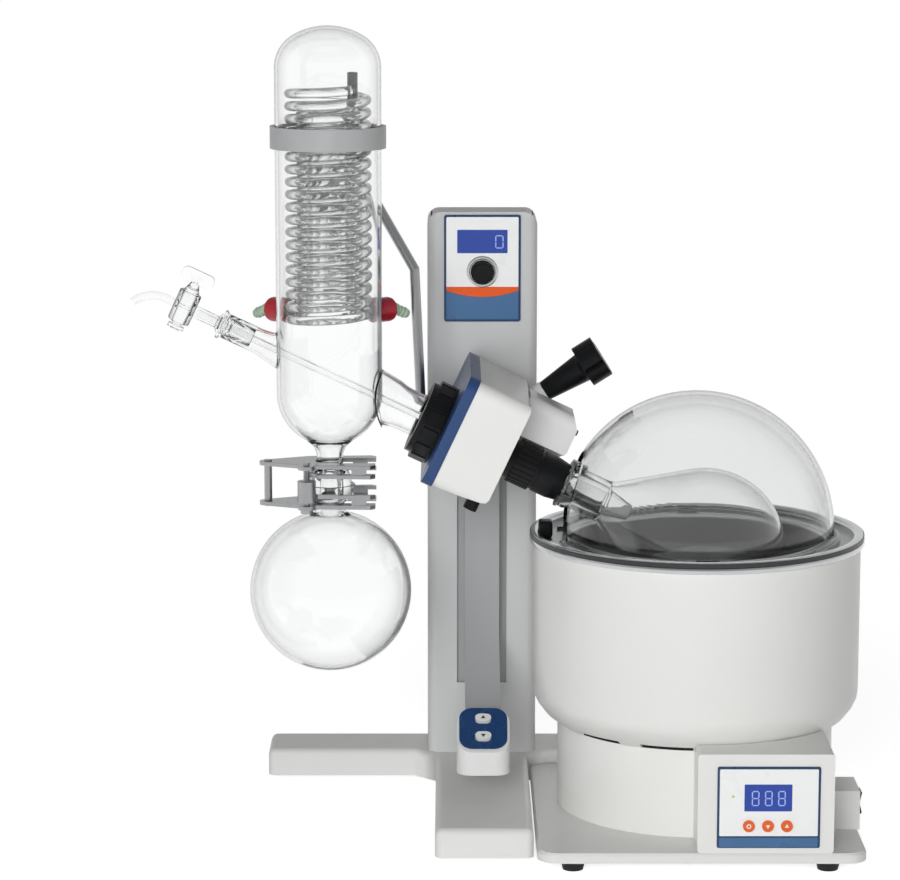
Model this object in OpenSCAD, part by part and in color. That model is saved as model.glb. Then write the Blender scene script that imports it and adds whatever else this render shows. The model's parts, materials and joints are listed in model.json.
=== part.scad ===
// Rotary evaporator with a motor lift, a vertical glass condenser and a separate heating bath.
// The origin is on the bench under the middle of the column. +Z is up and -Y faces the user.

/* [Base] */
// Height of the base casting
base_h = 25; // [20:1:40]
// Length of each side arm from the middle of the column
arm_reach = 183; // [150:1:220]
// Depth of the side arms
arm_d = 58; // [50:1:60]
// Width of the front foot
foot_w = 78; // [60:1:90]
// Distance from the column's middle to the front of the foot
foot_reach = 268; // [230:1:300]
// Wall of the base casting
base_wall = 4; // [3:0.5:6]
// Thickness of the rubber pads under the base
pad_t = 2; // [1:0.5:4]

/* [Column] */
// Width of the column
column_w = 92; // [80:1:110]
// Depth of the column
column_d = 66; // [60:1:80]
// Height of the column's top above the bench
column_top = 488.5; // [482:0.5:560]
// Wall of the column
column_wall = 3; // [2:0.5:5]
// Corner radius of the column
column_r = 8; // [5:1:12]
// Radius that rounds the column's top off towards the back
top_r = 26; // [10:1:30]
// Width of the slot that the lift arm travels in
slot_w = 42; // [36:1:50]
// Lower end of the slot
slot_z = 86; // [70:1:95]
// Upper end of the slot
slot_top = 292; // [290:1:340]
// Travel of the lift
lift_travel = 85; // [40:1:85]
// Radius of the guide rails
rail_r = 5; // [4:0.5:6]
// Distance of each guide rail from the middle
rail_x = 30; // [27:1:31]

/* [Panel] */
// Width of the control panel
panel_w = 64; // [56:1:70]
// Height of the control panel
panel_h = 89.6; // [80:0.2:90]
// Thickness of the control panel
panel_t = 1.5; // [1:0.5:3]
// Height of the speed knob's axis above the bench
knob_z = 438.7; // [436:0.1:445]
// Radius of the speed knob
knob_r = 10; // [8:0.5:12]
// Length of the speed knob
knob_l = 14; // [10:1:15]

/* [Head] */
// Distance from the column's middle to the glass axis
glass_reach = 148; // [140:1:160]
// Height of the tilt pivot above the bench
pivot_z = 311; // [305:1:320]
// Tilt of the spindle below the horizontal
head_tilt = 25.2; // [20:0.1:30]
// Height of the head above the spindle axis
head_up = 53; // [50:1:60]
// Depth of the head below the spindle axis
head_down = 39; // [34:1:42]
// Length of the head housing along the spindle
head_l = 46; // [42:1:56]
// Head housing in front of the spindle axis
head_front = 60; // [52:1:70]
// Head housing behind the spindle axis
head_back = 90; // [80:1:92]
// Wall of the head housing
head_wall = 3.5; // [3:0.5:5]
// Thickness of the flange plate
flange_t = 9; // [6:0.5:12]
// Outer radius of the hollow spindle
spindle_r = 14.5; // [14:0.5:16]
// Gear module
gear_m = 1; // [1:1:1]
// Teeth on the drive gear
gear_teeth = 56; // [52:2:58]
// Teeth on the motor pinion
pinion_teeth = 22; // [20:1:22]
// Thickness of the drive gear
gear_t = 8; // [6:1:9]
// Height of the motor axis above the spindle axis
motor_up = 28; // [24:1:32]
// Radius of the drive motor
motor_r = 15; // [13:0.5:15.5]
// Radius of the release sleeve
sleeve_r = 18.3; // [17.5:0.1:18.8]
// Length of the release sleeve
sleeve_l = 44; // [36:1:44]
// Angle of the tilt lock knob above the horizontal
lock_angle = 32.5; // [28:0.5:38]

/* [Condenser] */
// Distance of the condenser axis to the left of the column
condenser_reach = 124; // [118:1:130]
// Outer radius of the condenser
condenser_r = 42.5; // [40:0.5:46]
// Top of the condenser
condenser_top = 648; // [630:1:670]
// Centre height of the condenser's round bottom
condenser_z = 354; // [350:1:358]
// Glass wall
glass_t = 2.5; // [2:0.25:3]
// Height of the ring clamp's middle
ring_z = 560; // [540:1:575]
// Height of the ring clamp
ring_h = 17.5; // [12:0.5:22]
// Radius of the condenser side port
port_r = 17.3; // [16.5:0.1:17.5]
// Radius of the left port tube
inlet_r = 10.3; // [10:0.1:11]
// Outer radius of the coil tube
coil_tube_r = 3.9; // [3:0.1:4.2]
// Radius of the outer coil
coil_outer_r = 31; // [30.5:0.5:33]
// Radius of the inner coil
coil_inner_r = 22.5; // [18:0.5:22.5]
// Pitch of the coils
coil_pitch = 10; // [9:0.5:14]
// Bottom of the coils
coil_z = 414; // [410:1:418]
// Top of the coils
coil_top = 598; // [560:1:602]
// Height of the hose ports
hose_z = 417; // [415:1:425]

/* [Receiving flask] */
// Radius of the receiving flask
receiver_r = 65.5; // [60:0.5:70]
// Height of the receiving flask's centre
receiver_z = 192; // [185:1:195]
// Height of the ball joint's centre
joint_z = 281; // [279:0.5:283]
// Radius of the ball in the joint
ball_r = 17.5; // [17.5:0.5:17.5]
// Outer radius of the glass necks
neck_r = 10.5; // [9:0.5:12]

/* [Evaporating flask] */
// Radius of the evaporating flask
flask_r = 65.5; // [60:0.5:68]
// Distance from the tilt pivot to the flask's centre
flask_s = 198.6; // [195:0.1:202]
// Half angle of the flask's cone
flask_cone = 39; // [36:0.5:42]

/* [Bath] */
// Distance of the bath's axis to the left of the flask's centre
bath_lead = 6.7; // [0:0.1:12]
// Height of the bath's rim above the bench
rim_z = 242; // [236:1:245]
// Outer radius of the rim
rim_r = 135.5; // [134:0.5:140]
// Radius of the bath's painted shell
shell_r = 132.5; // [128:0.5:134]
// Radius of the pedestal
pedestal_r = 112; // [108:1:114]
// Top of the pedestal
pedestal_top = 87; // [80:1:92]
// Inner radius of the pot
pot_r = 104; // [98:1:106]
// Depth of the pot below the rim
pot_depth = 142; // [120:1:145]
// Thickness of the bath's base plate
plate_t = 8; // [6:1:10]
// Height of the bath's rubber feet
bath_foot_h = 8; // [6:1:12]
// Radius of the splash dome
dome_r = 111; // [109:0.5:114]
// Wall of the splash dome
dome_t = 3; // [2:0.5:4]
// Width of the control box
box_w = 106; // [100:1:110]
// Top of the control box above the bench
box_top = 95; // [90:1:100]

/* [Fits] */
// Running clearance on the radius
run = 0.05; // [0.02:0.01:0.1]
// Gap between pieces that only rest beside each other
seat = 0.3; // [0.2:0.05:0.5]
// Travel of the push buttons
press = 1.5; // [1:0.1:1.5]

/* [Hidden] */
$fn = 64;
eps = 0.01;

white = "#e6e6e3";
grey = "#9a9c9d";
blue = "#2f5c9e";
black = "#202124";
steel = "#b9bcbf";
clear = "#dfe8ec60";

column_front = -column_d / 2;
column_back = column_d / 2;
glass_y = -glass_reach;
condenser_x = -condenser_reach;
bath_x = flask_s * cos(head_tilt) - bath_lead;
bath_y = glass_y;

// A rounded rectangle centred on the origin.
module round_rect(w, d, r) {
    square([w - 2 * r, d], center = true);
    square([w, d - 2 * r], center = true);
    for (x = [-1, 1], y = [-1, 1]) translate([x * (w / 2 - r), y * (d / 2 - r)]) circle(r);
}

// A plate in the XZ plane with its front face at y, growing towards +Y.
module front_plate(w, h, t, r) {
    rotate([90, 0, 0]) translate([0, 0, -t]) linear_extrude(t) round_rect(w, h, r);
}

// A cylinder along X from x0 to x1, with an optional bore.
module rod_x(x0, x1, r, bore = 0) {
    translate([x0, 0, 0]) rotate([0, 90, 0]) difference() {
        cylinder(h = x1 - x0, r = r);
        if (bore > 0) translate([0, 0, -1]) cylinder(h = x1 - x0 + 2, r = bore);
    }
}

// A cone along X from radius r0 at x0 to radius r1 at x1.
module cone_x(x0, r0, x1, r1) {
    translate([x0, 0, 0]) rotate([0, 90, 0]) cylinder(h = x1 - x0, r1 = r0, r2 = r1);
}

// A cylinder along Y from y0 to y1.
module rod_y(y0, y1, r) {
    translate([0, y1, 0]) rotate([90, 0, 0]) cylinder(h = y1 - y0, r = r);
}

// A disc with square grip ribs round its edge.
module ribbed_disc(r, rib_h, ribs, rib_w, thick) {
    linear_extrude(thick, convexity = 4) {
        circle(r);
        for (i = [0:ribs - 1]) rotate(i * 360 / ribs) translate([r - 1, -rib_w / 2])
            square([rib_h + 1, rib_w]);
    }
}

// The head's own frame: X runs down the spindle axis to the flask, with 0 at the tilt pivot.
module at_head() {
    translate([0, glass_y, pivot_z]) rotate([0, head_tilt, 0]) children();
}

module at_condenser() {
    translate([condenser_x, glass_y, 0]) children();
}

module at_bath() {
    translate([bath_x, bath_y, 0]) children();
}

// Base casting and its pads
arm_y = column_back - arm_d;
base_edge = 6;
corner_cut = 22;

module base_outline() {
    polygon([
        [-arm_reach, arm_y], [-foot_w / 2 - corner_cut, arm_y], [-foot_w / 2, arm_y - corner_cut],
        [-foot_w / 2, -foot_reach], [foot_w / 2, -foot_reach], [foot_w / 2, arm_y - corner_cut],
        [foot_w / 2 + corner_cut, arm_y], [arm_reach, arm_y], [arm_reach, column_back],
        [-arm_reach, column_back]]);
}

// A slab over the corner points, with its upright edges and top edges rounded.
module soft_slab(corners, h, r) {
    hull() for (p = corners) translate(p) {
        cylinder(h = h - r, r = r, $fn = 24);
        translate([0, 0, h - r]) rotate_extrude($fn = 24) intersection() {
            circle(r);
            square(r);
        }
    }
}

module base_casting() {
    e = base_edge;
    h = base_h - pad_t;
    x1 = arm_reach - e;
    x2 = foot_w / 2 - e;
    x3 = x2 + corner_cut;
    y0 = -foot_reach + e;
    y1 = arm_y + e;
    y2 = column_back - e;
    color(white) difference() {
        translate([0, 0, pad_t]) {
            soft_slab([[-x1, y1], [x1, y1], [x1, y2], [-x1, y2]], h, e);
            soft_slab([[-x2, y0], [x2, y0], [x2, y1 + e], [-x2, y1 + e]], h, e);
            soft_slab([[-x2, y1 - corner_cut], [x2, y1 - corner_cut], [x3, y1], [-x3, y1]], h, e);
        }
        difference() {
            translate([0, 0, pad_t - 1]) linear_extrude(h - base_wall + 1, convexity = 4)
                offset(delta = -base_wall) base_outline();
            for (p = pad_places) translate(p) cylinder(h = base_h, r = pad_r);
        }
    }
}

pad_r = 9;
pad_places = [[0, 0], [-arm_reach + 22, arm_y + arm_d / 2], [arm_reach - 22, arm_y + arm_d / 2],
    [-foot_w / 2 + 18, -foot_reach + 22], [foot_w / 2 - 18, -foot_reach + 22]];

module base_pads() {
    color(black) for (p = pad_places) translate([p[0], p[1], 0]) cylinder(h = pad_t, r = pad_r);
}

// Column, its rear cover and what is inside
cover_w = column_w - 24;
cover_h = 250;
cover_z = base_h + 20;
cover_t = 1.5;

crown_corner = 12;

// The column seen from the side, whose top rounds off towards the back.
module column_side(inset) {
    rotate([90, 0, 90]) translate([0, 0, -column_w]) linear_extrude(2 * column_w) union() {
        translate([column_front - 1, 0]) square([column_d - top_r + 1, column_top - inset]);
        translate([column_front - 1, 0]) square([column_d - inset + 1, column_top - top_r]);
        translate([column_back - top_r, column_top - top_r]) circle(top_r - inset);
    }
}

module column_shell() {
    inner_w = column_w - 2 * column_wall;
    inner_d = column_d - 2 * column_wall;
    color(white) difference() {
        intersection() {
            translate([0, 0, base_h]) linear_extrude(column_top - base_h)
                round_rect(column_w, column_d, column_r);
            rotate([90, 0, 0]) translate([0, 0, -column_d]) linear_extrude(2 * column_d) union() {
                translate([-column_w / 2, 0]) square([column_w, column_top - crown_corner]);
                translate([-column_w / 2 + crown_corner, 0])
                    square([column_w - 2 * crown_corner, column_top]);
                for (x = [-1, 1]) translate([x * (column_w / 2 - crown_corner),
                    column_top - crown_corner])
                    circle(crown_corner);
            }
            column_side(0);
        }
        intersection() {
            translate([0, 0, base_h - 1]) linear_extrude(column_top - base_h - column_wall + 1)
                round_rect(inner_w, inner_d, column_r - column_wall);
            column_side(column_wall);
        }
        translate([-slot_w / 2, column_front - 1, slot_z])
            cube([slot_w, column_wall + 2, slot_top - slot_z]);
        translate([-(cover_w - 7) / 2, column_back - column_wall - 1, cover_z + 8])
            cube([cover_w - 7, column_wall + 2, cover_h - 16]);
        translate([0, column_front - 1, knob_z]) rod_y(0, column_wall + 2, bush_r + seat);
    }
}

socket_x = -16;
inlet_z = cover_z + 42;
rocker_z = cover_z + 92;
inlet_w = 27;
inlet_h = 20;
rocker_w = 13;
rocker_h = 19;

module rear_cover() {
    color(white) difference() {
        translate([0, column_back, cover_z + cover_h / 2]) front_plate(cover_w, cover_h, cover_t, 5);
        translate([socket_x, column_back - 1, inlet_z]) cube([inlet_w, 9, inlet_h], center = true);
        translate([socket_x, column_back - 1, rocker_z]) cube([rocker_w - 1 + 2 * seat, 9, rocker_h
            + 3], center = true);
        for (i = [0:7]) translate([0, column_back - 1, cover_z + 150 + i * 9])
            cube([36, 9, 3.5], center = true);
    }
    color(steel) for (x = [-1, 1], z = [8, cover_h - 8])
        translate([x * (cover_w / 2 - 6), column_back + cover_t, cover_z + z]) rod_y(0, 1.8, 3);
}

module power_inlet() {
    flange = 2;
    depth = 22;
    color(black) difference() {
        union() {
            translate([socket_x, column_back + cover_t, inlet_z])
                front_plate(inlet_w + 8, inlet_h + 6, flange, 4);
            translate([socket_x, column_back + cover_t - depth, inlet_z])
                front_plate(inlet_w - 0.4, inlet_h - 0.4, depth, 3);
        }
        translate([socket_x, column_back + cover_t + flange - 17, inlet_z])
            front_plate(inlet_w - 3.4, inlet_h - 4, 18, 3);
    }
    color(steel) for (x = [-7, 0, 7])
        translate([socket_x + x, column_back + cover_t + flange - 18, inlet_z + (x == 0 ? 3 : -3)])
            front_plate(2, 4, 14, 0.5);
}

// The rocker's frame is part of the piece behind; the rocker turns on a pin along X.
module mains_rocker() {
    color(black) translate([socket_x, column_back + cover_t + 1, rocker_z]) {
        rotate([0, 90, 0]) translate([0, 0, -rocker_w / 2 + 0.5]) linear_extrude(rocker_w - 1)
            rocker_profile(rocker_h - 1);
        rod_x(-rocker_w / 2 + 0.25, rocker_w / 2 - 0.25, 1.5);
    }
}

module rocker_profile(l) {
    polygon([[-l / 2, 2.6], [-l / 2 + 1, 3.4], [0, 1.6], [l / 2 - 1, 3.4], [l / 2, 2.6], [l / 2 - 2,
        -6], [-l / 2 + 2, -6]]);
}

rail_y = -6;
rail_z = base_h;

module guide_rails() {
    color(steel) for (x = [-1, 1]) translate([x * rail_x, rail_y, rail_z])
        cylinder(h = column_top - column_wall - rail_z, r = rail_r);
}

actuator_x = 14;
actuator_y = 16;
actuator_r = 12;
rod_r = 6;
actuator_top = 150;

module actuator_body() {
    color(black) translate([actuator_x, actuator_y, base_h]) difference() {
        union() {
            cylinder(h = actuator_top - base_h, r = actuator_r);
            translate([-15, -13, 0]) cube([30, 26, 34]);
        }
        translate([0, 0, 14]) cylinder(h = actuator_top, r = rod_r + run);
    }
}

bush_r = 5;
board_t = 1.6;

// The board carries the speed encoder, whose bush comes through the column's front.
module control_board() {
    board_y = column_front + column_wall + 9;
    color("#2c6b45") difference() {
        translate([0, board_y, panel_z]) front_plate(panel_w - 6, panel_h - 10, board_t, 2);
        translate([0, board_y - 1, knob_z]) rod_y(0, board_t + 2, 3);
    }
    color(black) translate([0, board_y - 8, knob_z]) front_plate(14, 14, 8, 1);
    color(steel) translate([0, 0, knob_z]) rod_y(column_front, board_y - 8, bush_r);
    color(steel) for (x = [-1, 1], z = [-1, 1])
        translate([x * (panel_w / 2 - 7), 0, panel_z + z * (panel_h / 2 - 12)])
            rod_y(column_front + column_wall, board_y, 2.5);
}

panel_z = column_top - panel_h / 2 - 2.2;
display_z = panel_z + 12.5;

module control_panel() {
    color(blue) difference() {
        translate([0, column_front - panel_t, panel_z]) front_plate(panel_w, panel_h, panel_t, 5);
        translate([-21, column_front - panel_t - 1, display_z]) cube([42, panel_t + 2, 20]);
        translate([0, 0, knob_z]) rod_y(column_front - panel_t - 1, column_front + 1, bush_r + seat);
    }
    color("#2a4fb0") translate([-21, column_front - panel_t + 0.3, display_z]) cube([42, panel_t - 0.3,
        20]);
    color(steel) translate([0, 0, knob_z]) difference() {
        rod_y(column_front - panel_t - 1.5, column_front - panel_t, knob_r + 3);
        rod_y(column_front - panel_t - 3, column_front, knob_r + seat);
    }
}

module speed_knob() {
    shaft_r = 3;
    back = column_front - panel_t - 0.4;
    color(black) translate([0, 0, knob_z]) difference() {
        union() {
            rod_y(back - 4, back, knob_r - 0.2);
            translate([0, back - 4, 0]) rotate([90, 0, 0]) ribbed_disc(knob_r - 1.4, 0.8, 24, 1,
                knob_l - 5.2);
            rod_y(back - knob_l, back - knob_l + 1.2, knob_r - 2.2);
        }
        rod_y(back - knob_l - 1, back - knob_l + 0.6, 1.2);
    }
    color(steel) translate([0, 0, knob_z]) rod_y(back, column_front, shaft_r);
}

// Lift carriage inside the column, the arm outside it and the pod
carriage_z = 112;
carriage_h = 118;
carriage_front = column_front + column_wall + 1.5;
carriage_back = actuator_y - actuator_r - 1.5;
bushing_r = 8;
bushing_l = 24;
lug_h = 14;
arm_w = 29;
arm_t = 9;
arm_back = column_front - 5;
arm_front = arm_back - arm_t;
tongue_z = 130;
tongue_h = 70;

// A plate on the carriage closes the slot behind the arm, above the carriage and below it.
shutter_z = base_h + 3;

module lift_carriage() {
    top = carriage_z + carriage_h;
    color(grey) difference() {
        union() {
            translate([-rail_x - bushing_r - 3, carriage_front, carriage_z])
                cube([2 * (rail_x + bushing_r + 3), carriage_back - carriage_front, carriage_h]);
            translate([actuator_x - 11, carriage_back - eps, top - lug_h])
                cube([22, actuator_y - carriage_back + 11, lug_h]);
            translate([-(arm_w - 2) / 2, arm_back, tongue_z])
                cube([arm_w - 2, carriage_front - arm_back + eps, tongue_h]);
            translate([-slot_w / 2 - 2, carriage_front, shutter_z])
                cube([slot_w + 4, 2, slot_top + 2 - shutter_z]);
        }
        for (x = [-1, 1]) translate([x * rail_x, rail_y, carriage_z - 1]) {
            cylinder(h = carriage_h + 2, r = rail_r + 1);
            cylinder(h = bushing_l + 1, r = bushing_r);
            translate([0, 0, carriage_h - bushing_l + 1]) cylinder(h = bushing_l + 1, r = bushing_r);
        }
        translate([-14, carriage_front + 6, carriage_z + 34])
            cube([28, carriage_back - carriage_front, carriage_h - 62]);
        translate([actuator_x, actuator_y, top - lug_h - 1]) cylinder(h = lug_h + 2, r = rod_r - 1.5);
    }
}

module guide_bushes() {
    color("#b58a45") for (x = [-1, 1], z = [0, carriage_h - bushing_l])
        translate([x * rail_x, rail_y, carriage_z + z]) difference() {
            cylinder(h = bushing_l, r = bushing_r);
            translate([0, 0, -1]) cylinder(h = bushing_l + 2, r = rail_r + run);
        }
}

// The rod has a stepped end that passes through the carriage's lug under a nut.
module actuator_rod() {
    top = carriage_z + carriage_h;
    foot_z = base_h + 16;
    color(steel) translate([actuator_x, actuator_y, foot_z]) cylinder(h = top - lug_h - foot_z,
        r = rod_r);
    color(steel) translate([actuator_x, actuator_y, top - lug_h])
        cylinder(h = lug_h + 6, r = rod_r - 1.5);
    color(steel) translate([actuator_x, actuator_y, top]) cylinder(h = 5, r = 7.5, $fn = 6);
}

trunnion_r = 14;
hub_r = 21;
trunnion_l = 26;
arm_top = pivot_z + 25;
bend_z = 121;
pod_depth = 39.4;
pod_front = glass_y - 40;
pod_back = pod_front + pod_depth - 1;
pod_back_z = 84;

module lift_arm() {
    reach = arm_front - pod_back;
    drop = bend_z - pod_back_z;
    color(white) {
        translate([-arm_w / 2, arm_front, bend_z]) cube([arm_w, arm_t, pivot_z - bend_z]);
        translate([0, 0, pivot_z]) rod_y(arm_front, arm_back, arm_top - pivot_z);
        rotate([90, 0, 90]) translate([0, 0, -arm_w / 2]) linear_extrude(arm_w)
            polygon([[arm_back, bend_z + eps], [arm_front, bend_z + 8], [pod_back, pod_back_z + 6],
                [pod_back, pod_back_z - 6], [arm_back - 3, bend_z - 7], [arm_back, bend_z - 4]]);
    }
    color(steel) translate([0, 0, pivot_z]) {
        rod_y(arm_front - seat - 1, arm_front, hub_r - 2);
        rod_y(glass_y + head_back - trunnion_l, arm_front, trunnion_r);
    }
}

pod_w = 43;
pod_slope = 34.5;
pod_low = 47;
pod_face_t = 1.2;

// A sloped control head: the top plane carries the blue face, the skirt comes straight down.
module pod_shell() {
    color(white) difference() {
        intersection() {
            translate([0, pod_front + pod_depth / 2 - 1, pod_low]) linear_extrude(70)
                round_rect(pod_w, pod_depth, 13);
            translate([0, pod_front, pod_low + 20]) rotate([pod_slope, 0, 0]) translate([-40, -40, -80])
                cube([80, 140, 80]);
        }
        translate([0, pod_front + pod_depth / 2 - 1, pod_low - 1]) linear_extrude(14)
            round_rect(pod_w - 6, pod_depth - 6, 10);
        pod_place() for (y = button_places) translate([0, y, 0]) pod_button_hole();
    }
}

button_places = [14, 33];

module pod_place() {
    translate([0, pod_front, pod_low + 20]) rotate([pod_slope, 0, 0]) children();
}

module pod_button_hole() {
    translate([0, 0, -6]) linear_extrude(20) button_outline(0.3);
}

module button_outline(grow) {
    circle(4 + grow);
    translate([-2.5 - grow / 2, -4 - grow]) square([5 + grow, 8 + 2 * grow]);
    for (x = [-2.5, 2.5]) translate([x, 0]) circle(4 + grow);
}

module pod_face() {
    color(blue) pod_place() difference() {
        translate([0, 24, 0]) linear_extrude(pod_face_t) round_rect(pod_w - 4, 43, 11);
        for (y = button_places) translate([0, y, 0]) pod_button_hole();
    }
}

module pod_button() {
    color(white) pod_place() linear_extrude(press + pod_face_t + 1.4) button_outline(0);
    color(white) pod_place() translate([0, 0, -3.5]) linear_extrude(4) button_outline(0);
}

module up_button() {
    slide_on_pod(button_places[1]) pod_button();
}

module down_button() {
    slide_on_pod(button_places[0]) pod_button();
}

module slide_on_pod(y) {
    translate([0, y * cos(pod_slope), y * sin(pod_slope)]) children();
}

// Head housing: an open box whose left side is closed by the flange plate
head_x0 = -28;
head_x1 = head_x0 + head_l;
gear_r = gear_m * gear_teeth / 2;
pinion_r = gear_m * pinion_teeth / 2;
gear_gap = gear_r + pinion_r;
motor_y = sqrt(gear_gap * gear_gap - motor_up * motor_up);
gear_x = -12;
bearing_r = 20;
bearing_t = 8;
head_rise = 5;

module head_profile(inset) {
    r = 5;
    x0 = head_x0;
    x1 = head_x1 - inset;
    up = head_up - inset;
    down = head_down - inset;
    polygon([[x0, -down], [x1 - r, -down + head_rise], [x1 - r * 0.3, -down + head_rise + r * 0.3],
        [x1, -down + head_rise + r], [x1, up - r], [x1 - r * 0.3, up - r * 0.3], [x1 - r, up], [x0, up]]);
}

// The plan of the housing seen along the spindle axis, in (y, up).
module head_face(inset) {
    translate([(head_back - head_front) / 2, (head_up - head_down) / 2])
        round_rect(head_front + head_back - 2 * inset, head_up + head_down - 2 * inset, 10 - inset / 2);
}

module head_box(inset) {
    intersection() {
        rotate([90, 0, 0]) translate([0, 0, -head_back - 10]) linear_extrude(head_front + head_back + 20)
            head_profile(inset);
        translate([head_x0 - 1, 0, 0]) rotate([90, 0, 90]) linear_extrude(head_l + 2) head_face(inset);
    }
}

lock_x = 12;
lock_r = 5;
knob_dir = head_tilt + lock_angle;
lock_y = head_back - trunnion_l / 2 - 2;
boss_r = 9;
boss_end = 61;
screw_r = 3;

module head_housing() {
    color(white) at_head() difference() {
        union() {
            difference() {
                head_box(0);
                translate([-eps, 0, 0]) head_box(head_wall);
            }
            rod_x(head_x1 - bearing_t - 4, head_x1 - eps, bearing_r + 4);
            rod_y(head_back - trunnion_l - 4, head_back - eps, hub_r);
            translate([0, lock_y, 0]) rotate([0, 90 - knob_dir, 0]) translate([0, 0, trunnion_r + 3])
                cylinder(h = boss_end - trunnion_r - 3, r = boss_r);
            translate([lock_x, 0, -head_down + head_wall]) cylinder(h = 6, r = lock_r + 3);
        }
        rod_x(head_x1 - bearing_t - 5, head_x1 - 4, bearing_r + run);
        rod_x(head_x1 - 5, head_x1 + 1, spindle_r + 2);
        translate([0, motor_y, motor_up]) rod_x(head_x1 - head_wall - 1, head_x1 + 1, motor_r - 4);
        rod_y(head_back - trunnion_l - 0.5, head_back + 1, trunnion_r + run);
        translate([0, lock_y, 0]) rotate([0, 90 - knob_dir, 0]) cylinder(h = boss_end + 1,
            r = screw_r + run);
        translate([lock_x, 0, -head_down - 5]) cylinder(h = 20, r = lock_r - 1.5 + run);
    }
}

spigot_r = 27;
spigot_x = -46;

module head_flange() {
    x0 = head_x0 - flange_t;
    color(blue) at_head() difference() {
        union() {
            translate([x0, 0, 0]) rotate([90, 0, 90]) linear_extrude(flange_t) head_face(-1);
            rod_x(spigot_x, x0 + eps, spigot_r);
            rod_x(head_x0 - eps, head_x0 + bearing_t, bearing_r + 4);
        }
        rod_x(head_x0, head_x0 + bearing_t + 1, bearing_r + run);
        rod_x(spigot_x - 1, head_x0 + 1, seal_r + run);
        translate([0, rod_in_y, rod_in_up]) rod_x(x0 - 1, x0 + 5, rod_foot_r + run);
    }
}

seal_r = 16;
tube_r = 10.5;
tube_bore = 8;

module bearings() {
    color(steel) at_head() {
        rod_x(head_x0, head_x0 + bearing_t, bearing_r, spindle_r + run);
        rod_x(head_x1 - bearing_t - 4, head_x1 - 4, bearing_r, spindle_r + run);
    }
}

module shaft_seal() {
    color("#f1f1ee") at_head() rod_x(spigot_x, head_x0 - 2, seal_r, tube_r + run);
}

shaft_end = 67;

module spindle_shaft() {
    color(steel) at_head() difference() {
        union() {
            rod_x(head_x0 + seat, shaft_end, spindle_r);
            rod_x(head_x0 + bearing_t + seat, gear_x - gear_t / 2, spindle_r + 2);
        }
        rod_x(head_x0 - 1, shaft_end + 1, tube_r);
    }
}

// A spur gear with straight-sided teeth and rounded tips, centred on the origin, along Z.
module spur_gear(teeth, m, thick, bore, backlash) {
    pitch_r = m * teeth / 2;
    root_r = pitch_r - 1.25 * m;
    tip_r = pitch_r + 0.9 * m;
    half = 90 / teeth - backlash / pitch_r * 28.6;
    linear_extrude(thick, convexity = 4) difference() {
        union() {
            circle(root_r);
            for (i = [0:teeth - 1]) rotate(i * 360 / teeth) polygon([
                for (q = [[root_r - 0.2, -1.35], [pitch_r, -1], [tip_r, -0.45],
                    [tip_r, 0.45], [pitch_r, 1], [root_r - 0.2, 1.35]])
                    q[0] * [cos(q[1] * half), sin(q[1] * half)]]);
        }
        circle(bore);
    }
}

// The line of centres, as an angle about the spindle from the +Y side of the head frame.
mesh_angle = atan2(motor_y, motor_up);

module drive_gear() {
    color(steel) at_head() translate([gear_x - gear_t / 2, 0, 0]) rotate([0, 90, 0])
        rotate(180 - mesh_angle)
        spur_gear(gear_teeth, gear_m, gear_t, spindle_r, 0.08);
}

module motor_pinion() {
    color("#b58a45") at_head() translate([gear_x - gear_t / 2 - 1, motor_y, motor_up]) rotate([0, 90, 0])
        rotate(-mesh_angle + 180 / pinion_teeth) spur_gear(pinion_teeth, gear_m, gear_t + 2, 3, 0.08);
    color(steel) at_head() translate([0, motor_y, motor_up]) {
        rod_x(gear_x - gear_t / 2 - 3, motor_x0 - 6, 3);
        rod_x(motor_x0 - 6, motor_x0 + 4, 3);
    }
}

motor_x0 = 4;
motor_end = 58;
cover_end = 62;

module drive_motor() {
    color(steel) at_head() translate([0, motor_y, motor_up]) difference() {
        union() {
            rod_x(motor_x0, motor_end, motor_r - 4 - seat);
            rod_x(head_x1 + seat, motor_end, motor_r);
            rod_x(motor_end, motor_end + 2, 5);
        }
        rod_x(motor_x0 - 1, motor_x0 + 12, 3 + run);
    }
}

cover_half = 24;

module cover_outline(inset) {
    difference() {
        translate([motor_y + 1, motor_up]) round_rect(2 * (cover_half - inset),
            2 * (cover_half - inset), 9 - inset);
        circle(sleeve_r + 1.5 + inset);
    }
}

module motor_cover() {
    slope = 10;
    color("#d6d6d3") at_head() difference() {
        intersection() {
            translate([head_x1, 0, 0]) rotate([90, 0, 90]) linear_extrude(cover_end - head_x1 + 2)
                cover_outline(0);
            rotate([90, 0, 0]) translate([0, 0, -80]) linear_extrude(100) polygon([[head_x1, 0],
                [cover_end - slope, 0], [cover_end + 2, motor_up - 6], [cover_end + 2, motor_up
                    + cover_half - slope],
                [cover_end - slope + 4, motor_up + cover_half + 1], [head_x1, motor_up + cover_half
                    + 1]]);
        }
        translate([head_x1 - 1, motor_y, motor_up]) rod_x(0, motor_end + 2 + seat - head_x1 + 1,
            motor_r + seat);
    }
}

// Spindle lock button under the head
module spindle_lock_button() {
    color(black) at_head() translate([lock_x, 0, 0]) {
        translate([0, 0, -head_down - 13]) cylinder(h = 10, r = lock_r + 0.8);
        translate([0, 0, -head_down - 4]) cylinder(h = 13, r = lock_r - 1.5);
    }
}

// Tilt lock knob: a lobed head on a tapered stem, on a screw that clamps the trunnion
stem_l = 37;
lobe_t = 18;
lobe_r = 18;

module lobed_head() {
    lobes = 5;
    color(black) linear_extrude(lobe_t) difference() {
        circle(lobe_r);
        for (i = [0:lobes - 1]) rotate(i * 360 / lobes) translate([lobe_r + 3.2, 0]) circle(6.5);
    }
}

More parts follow.
